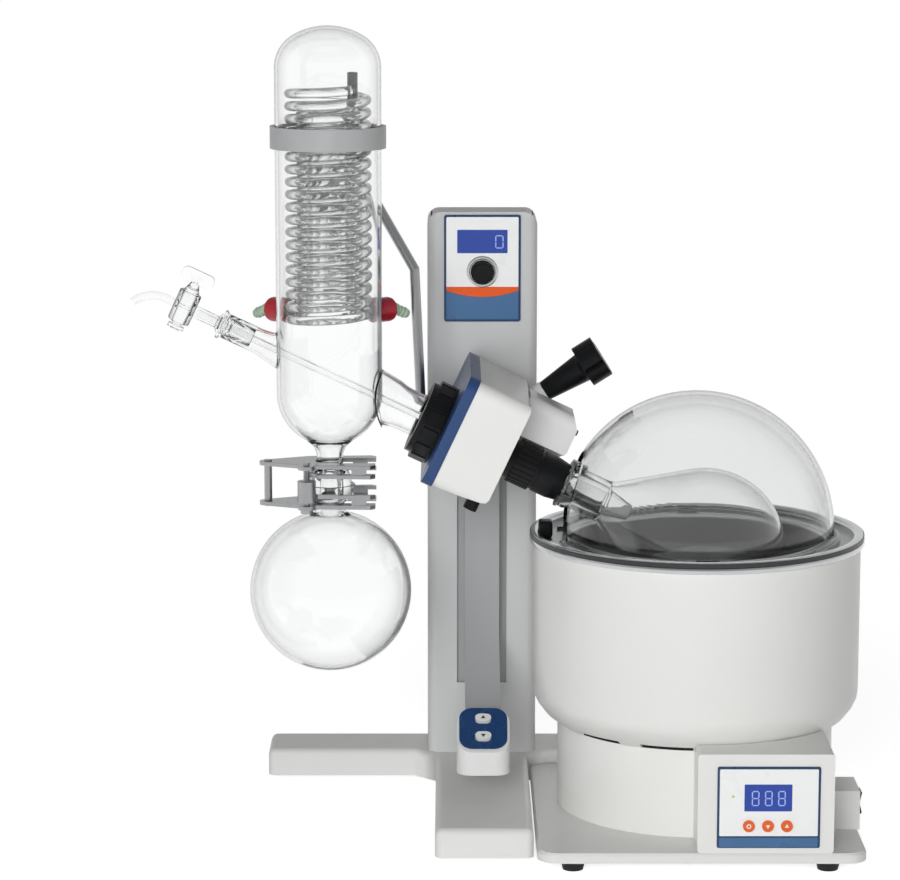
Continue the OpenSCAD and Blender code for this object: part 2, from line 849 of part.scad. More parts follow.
module tilt_lock_knob() {
    at_head() translate([0, lock_y, 0]) rotate([0, 90 - knob_dir, 0]) {
        color(black) translate([0, 0, boss_end + seat]) cylinder(h = stem_l, r1 = lobe_r - 9.7,
            r2 = lobe_r - 5.7);
        translate([0, 0, boss_end + seat + stem_l - eps]) lobed_head();
        color(steel) translate([0, 0, trunnion_r + 1]) cylinder(h = boss_end - trunnion_r + 4,
            r = screw_r);
    }
}

// Ribbed nut that holds the condenser's side port
nut_r = 33;
nut_x0 = -57;
nut_step = -52;
nut_x1 = head_x0 - flange_t - seat;
port_bead_r = 24;
port_end = spigot_x;
bead_t = 4;

module condenser_nut() {
    ribs = 14;
    rib_l = nut_x1 - 2 - nut_step;
    color(black) at_head() difference() {
        union() {
            translate([nut_step, 0, 0]) rotate([0, 90, 0]) ribbed_disc(nut_r - 1.2, 1.2, ribs, 11.5,
                rib_l);
            rod_x(nut_x1 - 2, nut_x1, nut_r - 0.2);
            rod_x(nut_x0, nut_step, nut_r - 3.5);
        }
        rod_x(nut_x0 - 1, nut_x1 + 1, port_r + 0.6);
        rod_x(port_end - bead_t - seat, nut_x1 + 1, spigot_r + run);
    }
}

// Sleeve that presses the flask off its joint; its ribs run along the spindle
sleeve_x0 = 27;

module release_sleeve() {
    end_r = sleeve_r - 2.7;
    x1 = sleeve_x0 + sleeve_l;
    ribs = 24;
    color(black) at_head() difference() {
        union() {
            rod_x(head_x1 + 2, sleeve_x0, sleeve_r - 2.2);
            translate([sleeve_x0, 0, 0]) rotate([0, 90, 0]) ribbed_disc(sleeve_r - 0.8, 0.8, ribs, 2.4,
                19);
            rod_x(sleeve_x0 + 19, sleeve_x0 + 22, sleeve_r - 2.4);
            rod_x(sleeve_x0 + 22, sleeve_x0 + 35, sleeve_r - 1.2);
            cone_x(sleeve_x0 + 35, sleeve_r - 1.2, x1, end_r);
        }
        rod_x(head_x1 + 1, shaft_end, spindle_r);
        rod_x(shaft_end - 1, x1 + 1, tube_r + 1.5);
    }
}

// Glass vapour tube through the spindle, with a ground cone and a drip tip
cone_x0 = 76;
cone_x1 = 108;
cone_r0 = 14.2;
cone_r1 = 12.6;
tip_x = 130;

module vapour_tube() {
    color(clear) at_head() rotate([0, 90, 0]) rotate_extrude() polygon([
        [tube_bore, spigot_x + 1], [tube_r, spigot_x + 1], [tube_r, cone_x0 - 4], [cone_r0, cone_x0],
        [cone_r1, cone_x1], [tube_r, cone_x1 + 3], [6.5, tip_x], [4.8, tip_x], [tube_bore, cone_x1 + 3]]);
}

flask_neck_r = 17;

// Spring clip that hooks over the flask's collar, between the sleeve and the flask
module flask_clip() {
    color(steel) at_head() difference() {
        union() {
            rod_x(cone_x0 - 4.6, cone_x0 - 2.8, flask_neck_r + 3, cone_r0 + 1);
            for (a = [0:120:240]) rotate([a, 0, 0]) translate([0, 0, flask_neck_r + 2.2])
                translate([cone_x0 - 4.6, -5, 0]) cube([13, 10, 1.2]);
            for (a = [0:120:240]) rotate([a, 0, 0]) translate([cone_x0 + 6.2, -5, flask_neck_r + seat])
                cube([2.2, 10, 2.5]);
        }
    }
}

// Pear-shaped flask: a sphere, a cone at its tangent and a neck with a ground socket
module flask_profile(r, neck, x_neck) {
    sin_c = sin(flask_cone);
    cos_c = cos(flask_cone);
    tangent_x = flask_s - r * sin_c;
    tangent_r = r * cos_c;
    neck_x = tangent_x - (tangent_r - neck) / tan(flask_cone);
    polygon(concat(
        [[0, x_neck], [neck, x_neck], [neck, neck_x]],
        [for (i = [0:24]) let (a = 180 - (90 - flask_cone) - i * (90 + flask_cone) / 24)
            [r * sin(a), flask_s + r * cos(a)]]));
}

module evaporating_flask() {
    color(clear) at_head() rotate([0, 90, 0]) difference() {
        union() {
            rotate_extrude($fn = 96) flask_profile(flask_r, flask_neck_r, cone_x0 - 2);
            translate([0, 0, cone_x0 - 2]) cylinder(h = 6, r = flask_neck_r + 2);
        }
        rotate_extrude($fn = 96) flask_profile(flask_r - glass_t, flask_neck_r - 2.8, cone_x1 - 1);
        translate([0, 0, cone_x0]) cylinder(h = cone_x1 - cone_x0, r1 = cone_r0, r2 = cone_r1);
        translate([0, 0, cone_x0 - 3]) cylinder(h = 3 + eps, r = cone_r0);
    }
}

// Support rod from the flange plate up to the ring clamp
rod_in_y = 40;
rod_in_up = 8;
rod_foot_r = 4;
support_r = 4;

function head_point(x, y, up) = [x * cos(head_tilt) + up * sin(head_tilt), glass_y + y,
    pivot_z - x * sin(head_tilt) + up * cos(head_tilt)];

module bar(a, b, r) {
    d = b - a;
    l = norm(d);
    translate(a) rotate([0, acos(d[2] / l), atan2(d[1], d[0])]) cylinder(h = l, r = r);
}

module support_rod() {
    foot = head_point(head_x0 - flange_t + 5, rod_in_y, rod_in_up);
    knee = head_point(-60, rod_in_y, rod_in_up);
    elbow = [knee[0] - 5, glass_y + rod_in_y + 4, 449];
    top = [condenser_x + 12, glass_y + ring_r + ring_lug / 2, ring_z - 14];
    end = [condenser_x, glass_y + ring_r + ring_lug / 2, ring_z + 6];
    color(steel) {
        bar(foot, knee, support_r);
        bar(knee, elbow, support_r);
        bar(elbow, top, support_r);
        bar(top, end, support_r);
        for (p = [knee, elbow, top]) translate(p) sphere(support_r + eps);
    }
}

// Ring clamp round the condenser with a lug at the back
ring_r = condenser_r + 0.6 + 3.2;
ring_lug = 16;

module condenser_clamp() {
    top = [condenser_x + 12, glass_y + ring_r + ring_lug / 2, ring_z - 14];
    end = [condenser_x, glass_y + ring_r + ring_lug / 2, ring_z + 6];
    color(grey) difference() {
        union() {
            at_condenser() translate([0, 0, ring_z - ring_h / 2]) cylinder(h = ring_h, r = ring_r);
            at_condenser() translate([-9, ring_r - 3, ring_z - ring_h / 2])
                cube([18, ring_lug + 2, ring_h]);
        }
        at_condenser() translate([0, 0, ring_z - ring_h / 2 - 1]) cylinder(h = ring_h + 2,
            r = condenser_r + seat);
        bar(end - 3 * (top - end), end + 0.2 * (end - top), support_r + run);
        bar(end, end + 1.2 * (top - end), support_r + run);
    }
    color(black) translate([0, 0, ring_z]) at_condenser() {
        rod_y(ring_r + ring_lug - 1 + eps, ring_r + ring_lug + 6, 3);
        rod_y(ring_r + ring_lug + 5, ring_r + ring_lug + 13, 8);
    }
}

// Condenser body: a revolved jacket with tubes for the ports
cross_s = -condenser_reach / cos(head_tilt);
knuckle_r = 30;
crown_r = 55;
hose_angles = [140, 40, 90];
hose_reach = 60;
hose_bore = 4.4;
hose_r = 7;

// The outline has a round bottom, a knuckle at the top and a flatter crown.
module condenser_profile(inset) {
    r = condenser_r - inset;
    knuckle = knuckle_r - inset;
    crown = crown_r - inset;
    knuckle_x = condenser_r - knuckle_r;
    crown_z = condenser_top - crown_r;
    knuckle_z = crown_z + sqrt(pow(crown_r - knuckle_r, 2) - pow(knuckle_x, 2));
    touch = asin(knuckle_x / (crown_r - knuckle_r));
    polygon(concat(
        [for (a = [-90:7.5:0]) [r * cos(a), condenser_z + r * sin(a)]],
        [for (i = [0:8]) let (a = (90 - touch) * i / 8) [knuckle_x + knuckle * cos(a), knuckle_z
            + knuckle * sin(a)]],
        [for (i = [5:-1:0]) let (a = touch * i / 6) [crown * sin(a), crown_z + crown * cos(a)]]));
}

module hose_port(angle, z, r, l) {
    translate([0, 0, z]) rotate([0, 90, angle]) translate([0, 0, condenser_r - 8])
        cylinder(h = l - condenser_r + 8, r = r);
}

module condenser_body() {
    color(clear) difference() {
        union() {
            at_condenser() rotate_extrude() condenser_profile(0);
            at_condenser() translate([0, 0, joint_z])
                cylinder(h = condenser_z - condenser_r - joint_z + 8, r = neck_r);
            at_condenser() intersection() {
                translate([0, 0, joint_z]) sphere(ball_r);
                translate([0, 0, joint_z - 14]) cylinder(h = 26, r = ball_r + 1);
            }
            at_condenser() for (a = hose_angles) hose_port(a, hose_z, hose_r, hose_reach);
            at_head() {
                rod_x(inlet_x, cross_s - 0.75 * condenser_r, inlet_r);
                rod_x(inlet_x, inlet_x + 3, inlet_r + 1.8);
                rod_x(cross_s + 0.7 * condenser_r, port_end, port_r);
                rod_x(port_end - bead_t, port_end, port_bead_r);
            }
        }
        at_condenser() rotate_extrude() condenser_profile(glass_t);
        at_condenser() translate([0, 0, joint_z - 20])
            cylinder(h = condenser_z - condenser_r - joint_z + 30, r = neck_r - glass_t);
        at_condenser() for (a = hose_angles) hose_port(a, hose_z, hose_bore, hose_reach + 1);
        at_head() {
            rod_x(inlet_x - 1, cross_s - 0.55 * condenser_r, inlet_r - 1.9);
            rod_x(cross_s + 0.4 * condenser_r, port_end + 1, port_r - 2.3);
        }
    }
}

// Double glass coil: an outer and an inner helix with leads into the hose ports
function helix_point(r, z0, turns, start, t) =
    [r * cos(start + 360 * turns * t), r * sin(start + 360 * turns * t), z0 + turns * coil_pitch * t];

function ring_at(p, q, r, sides) =
    let (d = (q - p) / norm(q - p), side = cross(d, [0, 0, 1]), u = side / norm(side), v = cross(u, d))
    [for (k = [0:sides - 1]) p + r * (cos(k * 360 / sides) * u + sin(k * 360 / sides) * v)];

module swept_tube(path, r, sides) {
    n = len(path);
    pts = [for (i = [0:n - 1]) each ring_at(i < n - 1 ? path[i] : path[n - 1],
        i < n - 1 ? path[i + 1] : 2 * path[n - 1] - path[n - 2], r, sides)];
    faces = concat(
        [[for (k = [0:sides - 1]) sides - 1 - k]],
        [for (i = [0:n - 2], k = [0:sides - 1]) let (a = i * sides + k, b = i * sides + (k + 1) % sides)
            [a, b, b + sides, a + sides]],
        [[for (k = [0:sides - 1]) (n - 1) * sides + k]]);
    polyhedron(points = pts, faces = faces, convexity = 20);
}

// The lead of a coil, from inside the hose port to just inside the jacket.
function lead_path(a) =
    [for (r = [hose_reach - 12, condenser_r - glass_t - 3.5]) [r * cos(a), r * sin(a), hose_z]];

module condenser_coil() {
    outer_turns = (coil_top - coil_z) / coil_pitch;
    inner_turns = outer_turns - 1;
    steps = 17;
    outer_path = concat(
        lead_path(hose_angles[0]),
        [for (i = [0:steps * outer_turns]) helix_point(coil_outer_r, coil_z, outer_turns,
            hose_angles[0] + 25,
            i / (steps * outer_turns))]);
    inner_path = concat(
        lead_path(hose_angles[1]),
        [for (i = [0:steps * inner_turns]) helix_point(coil_inner_r, coil_z - 1, inner_turns,
            hose_angles[1] + 10,
            i / (steps * inner_turns))]);
    color(clear) at_condenser() {
        swept_tube(outer_path, coil_tube_r, 6);
        swept_tube(inner_path, coil_tube_r, 6);
        top = outer_path[len(outer_path) - 1];
        inner = inner_path[len(inner_path) - 1];
        bar(top, inner, coil_tube_r);
        translate([inner[0], inner[1], inner[2] - coil_pitch / 2]) cylinder(h = coil_pitch + 18,
            r = coil_tube_r);
    }
}

cap_r = 10;
cap_l = 16;

module hose_frame(a) {
    at_condenser() translate([0, 0, hose_z]) rotate([0, 0, a]) children();
}

module hose_caps() {
    for (a = hose_angles) color(a == 90 ? black : "#c8102e") hose_frame(a) difference() {
        union() {
            rod_x(hose_reach - cap_l + 3, hose_reach + 3, cap_r - 0.6);
            rod_x(hose_reach - cap_l + 5, hose_reach + 1, cap_r);
        }
        rod_x(hose_reach - cap_l + 2, hose_reach + seat, hose_r + run);
        rod_x(hose_reach - 1, hose_reach + 4, 5.2);
    }
}

// Hose barbs held under the caps; each bends down a little outside its cap
module hose_barbs() {
    color("#b9d7b4") for (a = hose_angles) hose_frame(a) difference() {
        union() {
            rod_x(hose_reach + seat, hose_reach + 7, 5);
            translate([hose_reach + 7, 0, 0]) sphere(5);
            translate([hose_reach + 7, 0, 0]) rotate([0, 22, 0]) {
                rod_x(0, 14, 3.6);
                for (i = [0:2]) cone_x(3 + 4 * i, 4.6, 7 + 4 * i, 3.4);
            }
        }
        rod_x(hose_reach - 1, hose_reach + 7, 2.2);
        translate([hose_reach + 7, 0, 0]) rotate([0, 22, 0]) rod_x(0, 20, 2.2);
    }
}

// Feed tube with its ground cone, the stopcock barrel and the bent nozzle
inlet_x = -233.4;
cock_x = -265;
barrel_r = 9.2;
barrel_h = 26;
feed_r = 3;
feed_end = 60;
key_r0 = 6.4;
key_r1 = 5.2;

// A quarter of a ring, cut to the angle, that bends the nozzle down from the barrel's left side.
module nozzle_bend(ring_r, r, angle) {
    translate([cock_x - 16, 0, -ring_r]) rotate([90, 0, 0]) intersection() {
        rotate_extrude() translate([ring_r, 0]) circle(r);
        translate([0, 0, -r - 1]) linear_extrude(2 * r + 2)
            polygon([[0, 0], [0, 2 * ring_r], 2 * ring_r * [-1, 1], 2 * ring_r * [-sin(angle),
                cos(angle)]]);
    }
}

module feed_tube() {
    bend_r = 26;
    color(clear) at_head() difference() {
        union() {
            rod_x(cock_x, feed_end, feed_r);
            rod_x(cock_x + 6, inlet_x - 2, 5);
            cone_x(inlet_x - 2, inlet_r - 1.9 - run, inlet_x + 28, inlet_r - 2.6);
            translate([cock_x, 0, -barrel_h / 2]) cylinder(h = barrel_h, r = barrel_r);
            rod_x(cock_x - 16, cock_x, feed_r + 0.3);
            nozzle_bend(bend_r, feed_r + 0.3, 62);
        }
        translate([cock_x, 0, -barrel_h / 2 - 1]) cylinder(h = barrel_h + 2, r1 = key_r1 + run,
            r2 = key_r0 + run);
        rod_x(cock_x + key_r0 - 2, feed_end + 1, feed_r - 1.2);
        rod_x(cock_x - 16 - eps, cock_x - key_r1 + 2, feed_r - 1);
        nozzle_bend(bend_r, feed_r - 1, 63);
    }
}

module stopcock_key() {
    color(clear) at_head() translate([cock_x, 0, 0]) difference() {
        union() {
            translate([0, 0, -barrel_h / 2 - 1]) cylinder(h = barrel_h + 2, r1 = key_r1, r2 = key_r0);
            translate([0, 0, barrel_h / 2 + 1 - eps]) cylinder(h = 7, r1 = key_r0, r2 = 3.5);
            intersection() {
                translate([0, 3, barrel_h / 2 + 13]) rotate([90, 0, 0]) linear_extrude(6)
                    round_rect(28, 11, 5);
                translate([0, 0, barrel_h / 2 + 6]) cylinder(h = 20, r = 14);
            }
            translate([0, 0, -barrel_h / 2 - 7]) cylinder(h = 6 + eps, r = key_r1 - 1.5);
            translate([0, 0, -barrel_h / 2 - 6]) cylinder(h = 3, r = key_r1 + 1.6);
        }
        rod_x(-10, 10, 1.6);
    }
}

// Fork clamp round the ball joint
fork_x0 = -57;
fork_x1 = 37;
fork_w = 50;
fork_t = 3.2;
fork_z = [joint_z + 14.4, joint_z + 6.6, joint_z - 9.8, joint_z - 18.2];
pin_x = -50;
screw_x = -18;
screw_y = -23;
pin_r = 3.2;

// One fork plate: tapered to the hinge at the left, with an open slot to the right.
module fork_plate(z, slot_r, short) {
    translate([0, 0, z]) linear_extrude(fork_t) difference() {
        union() {
            translate([short ? -8 : fork_x0 + 6, -6]) square([20, 12]);
            polygon([[short ? -16 : fork_x0 + 4, -6], [-18, -fork_w / 2 + 3], [fork_x1 - 4, -fork_w / 2],
                [fork_x1, -fork_w / 2 + 4], [fork_x1, fork_w / 2 - 4], [fork_x1 - 4, fork_w / 2],
                [-18, fork_w / 2 - 3], [short ? -16 : fork_x0 + 4, 6]]);
            if (!short) translate([fork_x0 + 6, 0]) circle(6);
            if (!short) translate([screw_x, screw_y]) circle(7);
        }
        circle(slot_r);
        translate([0, -slot_r]) square([fork_x1 + 1, 2 * slot_r]);
        if (!short) translate([pin_x, 0]) circle(pin_r + run);
        translate([screw_x, screw_y]) circle(short ? 9 : 2.5 + run);
    }
}

module fork_web(z0, z1) {
    for (y = [-1, 1]) translate([18, y * (fork_w / 2 - 2.6) - 1.5, z0]) cube([12, 3, z1 - z0]);
}

module clamp_upper_fork() {
    color(steel) at_condenser() {
        fork_plate(fork_z[0], neck_r + 1.2, false);
        fork_plate(fork_z[1], ball_r - 0.8, true);
        fork_web(fork_z[1] + fork_t - eps, fork_z[0] + eps);
    }
}

module clamp_lower_fork() {
    color(steel) at_condenser() {
        fork_plate(fork_z[3], collar_r + 0.8, false);
        fork_plate(fork_z[2], cup_r - 0.6, true);
        fork_web(fork_z[3] + fork_t - eps, fork_z[2] + eps);
        translate([pin_x, 0, fork_z[3] - 1]) cylinder(h = fork_z[0] + fork_t - fork_z[3] + 2, r = pin_r);
        translate([screw_x, screw_y, fork_z[3] - 1.5]) cylinder(h = fork_z[0] + fork_t - fork_z[3] + 4,
            r = 2.5);
        translate([screw_x, screw_y, fork_z[3] - 3]) cylinder(h = 3, r = 5);
        translate([screw_x, screw_y, fork_z[3] + fork_t + 3]) cylinder(h = 17, r = 7.4);
    }
}

// The receiving flask's cup rests on the lower fork, round a collar on the neck.
cup_r = ball_r + seat + 2.6;
collar_r = neck_r + 1.2;

module receiving_flask() {
    neck_top = joint_z - 12;
    color(clear) at_condenser() difference() {
        union() {
            translate([0, 0, receiver_z]) sphere(receiver_r, $fn = 96);
            translate([0, 0, receiver_z + receiver_r - 4])
                cylinder(h = neck_top - receiver_z - receiver_r + 6, r = neck_r);
            translate([0, 0, receiver_z + receiver_r - 2.5]) cylinder(h = 6, r1 = neck_r + 5,
                r2 = neck_r);
            translate([0, 0, fork_z[3] + 0.5]) cylinder(h = fork_t + 1, r = collar_r);
            intersection() {
                translate([0, 0, joint_z]) sphere(cup_r);
                translate([0, 0, fork_z[3] + fork_t + 0.1]) cylinder(h = 13.9, r = cup_r + 1);
            }
        }
        translate([0, 0, receiver_z]) sphere(receiver_r - glass_t, $fn = 96);
        translate([0, 0, receiver_z + receiver_r - 10]) cylinder(h = 60, r = neck_r - glass_t);
        translate([0, 0, joint_z]) sphere(ball_r + seat);
    }
}

// Heating bath
plate_x0 = foot_w / 2 + 2;
plate_x1 = bath_x + shell_r - 7.5;
plate_y0 = bath_y - shell_r - 22.5;
plate_y1 = column_front - 3;
plate_top = bath_foot_h + plate_t;

module bath_base() {
    w = plate_x1 - plate_x0;
    d = plate_y1 - plate_y0;
    color(white) translate([(plate_x0 + plate_x1) / 2, (plate_y0 + plate_y1) / 2, bath_foot_h]) {
        linear_extrude(plate_t - 2) round_rect(w, d, 16);
        translate([0, 0, plate_t - 2 - eps]) linear_extrude(1 + eps) round_rect(w - 1, d - 1, 16);
        translate([0, 0, plate_t - 1 - eps]) linear_extrude(1 + eps) round_rect(w - 3, d - 3, 15);
    }
}

module bath_feet() {
    color(black) for (x = [plate_x0 + 28, plate_x1 - 30], y = [plate_y0 + 14, plate_y1 - 22])
        translate([x, y, 0]) {
            cylinder(h = bath_foot_h, r1 = 8, r2 = 10);
        }
}

side_x1 = plate_x1 + 1;
side_y0 = bath_y - 89;
side_y1 = bath_y - 47;
side_top = 48;
bath_rocker_y = (side_y0 + side_y1) / 2;

module bath_pedestal() {
    wall = 2;
    difference() {
        color(white) union() {
            at_bath() translate([0, 0, plate_top]) cylinder(h = pedestal_top - plate_top,
                r = pedestal_r, $fn = 96);
            translate([bath_x + 60, side_y0, plate_top]) cube([side_x1 - bath_x - 60,
                side_y1 - side_y0, side_top - plate_top]);
        }
        at_bath() translate([0, 0, plate_top - 1]) cylinder(h = pedestal_top - plate_top + 2,
            r = pedestal_r - wall, $fn = 96);
        translate([bath_x + 40, side_y0 + wall, plate_top - 1])
            cube([side_x1 - bath_x - 40 - wall, side_y1 - side_y0 - 2 * wall,
                side_top - plate_top - wall + 1]);
        translate([side_x1 - 5, bath_rocker_y - 6 - seat, plate_top + 7]) cube([8, 12 + 2 * seat, 22]);
    }
}

module bath_rocker() {
    color(black) translate([side_x1, bath_rocker_y, plate_top + 18]) {
        rotate([0, 0, -90]) rotate([0, 90, 0]) translate([0, 0, -6]) linear_extrude(12)
            rocker_profile(18.4);
        rod_y(-6.25, 6.25, 1.5);
    }
}

vent_n = 12;

// Painted shell, drawn in at the bottom, with vents between the shell and the pedestal.
module bath_shell() {
    wall = 1.5;
    top = rim_z - 9;
    taper_top = pedestal_top + 21;
    low_r = pedestal_r + 2;
    outer = [[low_r, pedestal_top], [low_r + 9, pedestal_top + 7], [shell_r - 3.5, taper_top - 6],
        [shell_r - 0.8, taper_top], [shell_r, taper_top + 6], [shell_r, top]];
    inner = [for (i = [5:-1:0]) [outer[i][0] - wall, i == 5 ? top : outer[i][1] + 0.4 * wall]];
    color(white) at_bath() difference() {
        union() {
            rotate_extrude($fn = 96) polygon(concat(outer, inner));
            rotate_extrude($fn = 96) polygon([[pedestal_r - 10, pedestal_top], [low_r, pedestal_top],
                [low_r, pedestal_top + 2], [pedestal_r - 10, pedestal_top + 2]]);
        }
        for (i = [0:vent_n - 1]) rotate([0, 0, i * 360 / vent_n + 4.5])
            rotate_extrude(angle = 21, $fn = 96) polygon([[pedestal_r + 0.6, pedestal_top - 1],
                [low_r + 14, pedestal_top - 1],
                [low_r + 14, pedestal_top + 4], [pedestal_r + 0.6, pedestal_top + 4]]);
    }
}

pot_wall = 1.5;
shelf_drop = 6;
shelf_r = rim_r - 9.5;

// Stainless pot with a rolled rim and a shelf that the dome stands on.
module bath_pot() {
    shelf = rim_z - shelf_drop;
    low = rim_z - pot_depth;
    color(steel) at_bath() rotate_extrude($fn = 96) polygon(concat(
        [[0, low], [pot_r - 16, low]],
        [for (a = [-75:15:0]) [pot_r - 16 + 16 * cos(a), low + 16 + 16 * sin(a)]],
        [[pot_r, shelf], [shelf_r, shelf], [shelf_r + 1, rim_z - 1], [shelf_r + 3, rim_z], [rim_r - 3,
            rim_z],
            [rim_r, rim_z - 3], [rim_r, rim_z - 9], [shell_r - pot_wall, rim_z - 9],
                [shell_r - pot_wall, rim_z - 12],
            [shell_r - pot_wall - 3, rim_z - 12], [shell_r - pot_wall - 3, shelf - pot_wall - 2],
            [pot_r + pot_wall, shelf - pot_wall - 2]],
        [for (a = [0:-15:-75]) [pot_r - 16 + (16 + pot_wall) * cos(a), low + 16 + (16
            + pot_wall) * sin(a)]],
        [[pot_r - 16, low - pot_wall], [0, low - pot_wall]]));
}

// Ring heater clamped under the pot
module bath_heater() {
    low = rim_z - pot_depth - pot_wall;
    color(grey) at_bath() difference() {
        translate([0, 0, low - 9]) cylinder(h = 9, r = pot_r - 24);
        translate([0, 0, low - 10]) cylinder(h = 11, r = pot_r - 52);
    }
    color(steel) at_bath() for (a = [0:90:270]) rotate([0, 0, a]) translate([pot_r - 38, 0, plate_top])
        cylinder(h = low - 9 - plate_top, r = 4);
}

box_x0 = bath_x - 8;
box_y0 = plate_y0 + 2;
box_y1 = bath_y - 77;
bath_panel_x = box_x0 + 55;
bath_panel_z = 53;
bath_panel_w = 80;
bath_panel_h = 65;
bath_buttons = [for (d = [31.6, 46.4, 61.1]) bath_x + d];
bath_button_z = 38.3;
bath_button_r = 4.6;

module bath_control_box() {
    wall = 2;
    color(white) difference() {
        translate([box_x0 + box_w / 2, box_y0, (plate_top + box_top) / 2])
            front_plate(box_w, box_top - plate_top, box_y1 - box_y0, 2.5);
        translate([box_x0 + box_w / 2, box_y0 + wall, (plate_top + box_top) / 2])
            front_plate(box_w - 2 * wall, box_top - plate_top - 2 * wall, 100, 1);
        at_bath() cylinder(h = 200, r = pedestal_r + seat, $fn = 96);
        translate([bath_x + 60 - seat, side_y0 - seat, plate_top - 1])
            cube([box_w, side_y1 - side_y0, side_top + seat + 1 - plate_top]);
        at_bath() translate([0, 0, pedestal_top - 1]) cylinder(h = 50, r1 = pedestal_r + 4,
            r2 = pedestal_r + 54, $fn = 96);
        for (x = bath_buttons) translate([x, 0, bath_button_z]) rod_y(box_y0 - 2, box_y0 + 5,
            bath_button_r + 0.25);
    }
}

module bath_panel() {
    color(blue) difference() {
        translate([bath_panel_x, box_y0 - 1, bath_panel_z]) front_plate(bath_panel_w, bath_panel_h, 1,
            1.5);
        translate([bath_panel_x - 18.5, box_y0 - 2, 50]) cube([37, 1.4, 21.5]);
        for (x = bath_buttons) translate([x, 0, bath_button_z]) rod_y(box_y0 - 2, box_y0 + 1,
            bath_button_r + 0.25);
    }
}

module bath_button(x) {
    color("#ee6b1f") translate([x, 0, bath_button_z]) {
        rod_y(box_y0 - 2.8, box_y0 + 3, bath_button_r);
        rod_y(box_y0 + 2 + eps, box_y0 + 4, 3);
    }
}

module bath_button_left() {
    bath_button(bath_buttons[0]);
}

module bath_button_middle() {
    bath_button(bath_buttons[1]);
}

module bath_button_right() {
    bath_button(bath_buttons[2]);
}

dome_z = rim_z + 2;
notch_w = 58;
notch_h = 62;

// Clear splash dome with a foot ring and a notch on the left for the flask's neck.
module dome_cover() {
    foot = rim_z - shelf_drop;
    inner_r = dome_r - dome_t;
    notch_top = dome_z + notch_h - notch_w / 2;
    color(clear) at_bath() difference() {
        union() {
            intersection() {
                translate([0, 0, dome_z]) sphere(dome_r, $fn = 96);
                translate([0, 0, dome_z]) cylinder(h = dome_r + 1, r = dome_r + 1, $fn = 96);
            }
            translate([0, 0, foot]) cylinder(h = dome_z - foot, r = dome_r, $fn = 96);
            translate([0, 0, foot]) cylinder(h = 2.5, r = dome_r + 5, $fn = 96);
        }
        translate([0, 0, dome_z]) sphere(inner_r, $fn = 96);
        translate([0, 0, foot - 1]) cylinder(h = dome_z - foot + 1, r = inner_r, $fn = 96);
        translate([-dome_r - 10, -notch_w / 2, foot - 2]) cube([dome_r, notch_w, notch_top - foot + 2]);
        translate([0, 0, notch_top]) rod_x(-dome_r - 10, -10, notch_w / 2);
    }
}

// Two black clips that locate the dome's foot on the shelf
module dome_clips() {
    foot = rim_z - shelf_drop;
    color(black) at_bath() {
        for (s = [-1, 1]) translate([0, s * (dome_r + 5 + seat + 3), foot]) translate([-9, -3, 0])
            cube([18, 6, 8]);
        for (s = [-1, 1]) translate([0, s * (dome_r + seat + 3.7), foot + 2.5 + eps])
            translate([-6, -3.7, 0]) cube([12, 7.4, 4]);
    }
}

base_casting();
base_pads();
column_shell();
rear_cover();
power_inlet();
guide_rails();
actuator_body();
control_board();
control_panel();
speed_knob();
mains_rocker();
lift_carriage();
guide_bushes();
actuator_rod();
lift_arm();
pod_shell();
pod_face();
up_button();
down_button();
head_housing();
head_flange();
bearings();
drive_motor();
motor_cover();
shaft_seal();
motor_pinion();
spindle_lock_button();
tilt_lock_knob();
condenser_nut();
spindle_shaft();
drive_gear();
release_sleeve();
vapour_tube();
flask_clip();
evaporating_flask();
support_rod();
condenser_clamp();
condenser_body();
condenser_coil();
hose_caps();
hose_barbs();
feed_tube();
stopcock_key();
clamp_upper_fork();
clamp_lower_fork();
receiving_flask();
bath_base();
bath_feet();
bath_pedestal();
bath_shell();
bath_pot();
bath_heater();
bath_control_box();
bath_panel();
bath_button_left();
bath_button_middle();
bath_button_right();
bath_rocker();
dome_cover();
dome_clips();
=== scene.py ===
import json
import math

import bmesh
import bpy
from mathutils import Matrix, Vector


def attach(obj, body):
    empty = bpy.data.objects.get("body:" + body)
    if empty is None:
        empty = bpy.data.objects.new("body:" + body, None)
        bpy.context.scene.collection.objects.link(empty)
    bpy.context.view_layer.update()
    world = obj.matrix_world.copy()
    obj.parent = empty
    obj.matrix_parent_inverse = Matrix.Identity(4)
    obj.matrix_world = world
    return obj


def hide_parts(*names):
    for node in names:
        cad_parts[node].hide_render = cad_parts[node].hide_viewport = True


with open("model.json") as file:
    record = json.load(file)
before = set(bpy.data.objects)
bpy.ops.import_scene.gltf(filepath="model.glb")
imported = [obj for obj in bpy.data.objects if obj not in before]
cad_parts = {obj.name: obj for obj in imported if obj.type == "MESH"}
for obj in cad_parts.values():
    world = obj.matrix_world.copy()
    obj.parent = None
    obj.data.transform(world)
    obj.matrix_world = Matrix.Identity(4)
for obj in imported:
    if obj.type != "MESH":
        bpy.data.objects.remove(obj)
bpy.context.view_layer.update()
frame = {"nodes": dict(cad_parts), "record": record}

# Studio. The camera stands where the photographer's did, a little above the bench and looking 9.7 degrees
# down. Floor and surround are plain and pale: white to the camera and through glass, with the surround
# dimmer in reflections, and the floor keeps the shadow of the instrument.
scene = bpy.context.scene
camera = bpy.data.objects.new("camera", bpy.data.cameras.new("camera"))
scene.collection.objects.link(camera)
looks_down = 9.7
camera.location = (-0.027, -2.766, 0.763)
camera.rotation_euler = (math.radians(90 - looks_down), 0, 0)
camera.data.lens = 131.6
camera.data.sensor_width = 36
camera.data.clip_end = 60
scene.camera = camera
scene.view_settings.view_transform = "Standard"


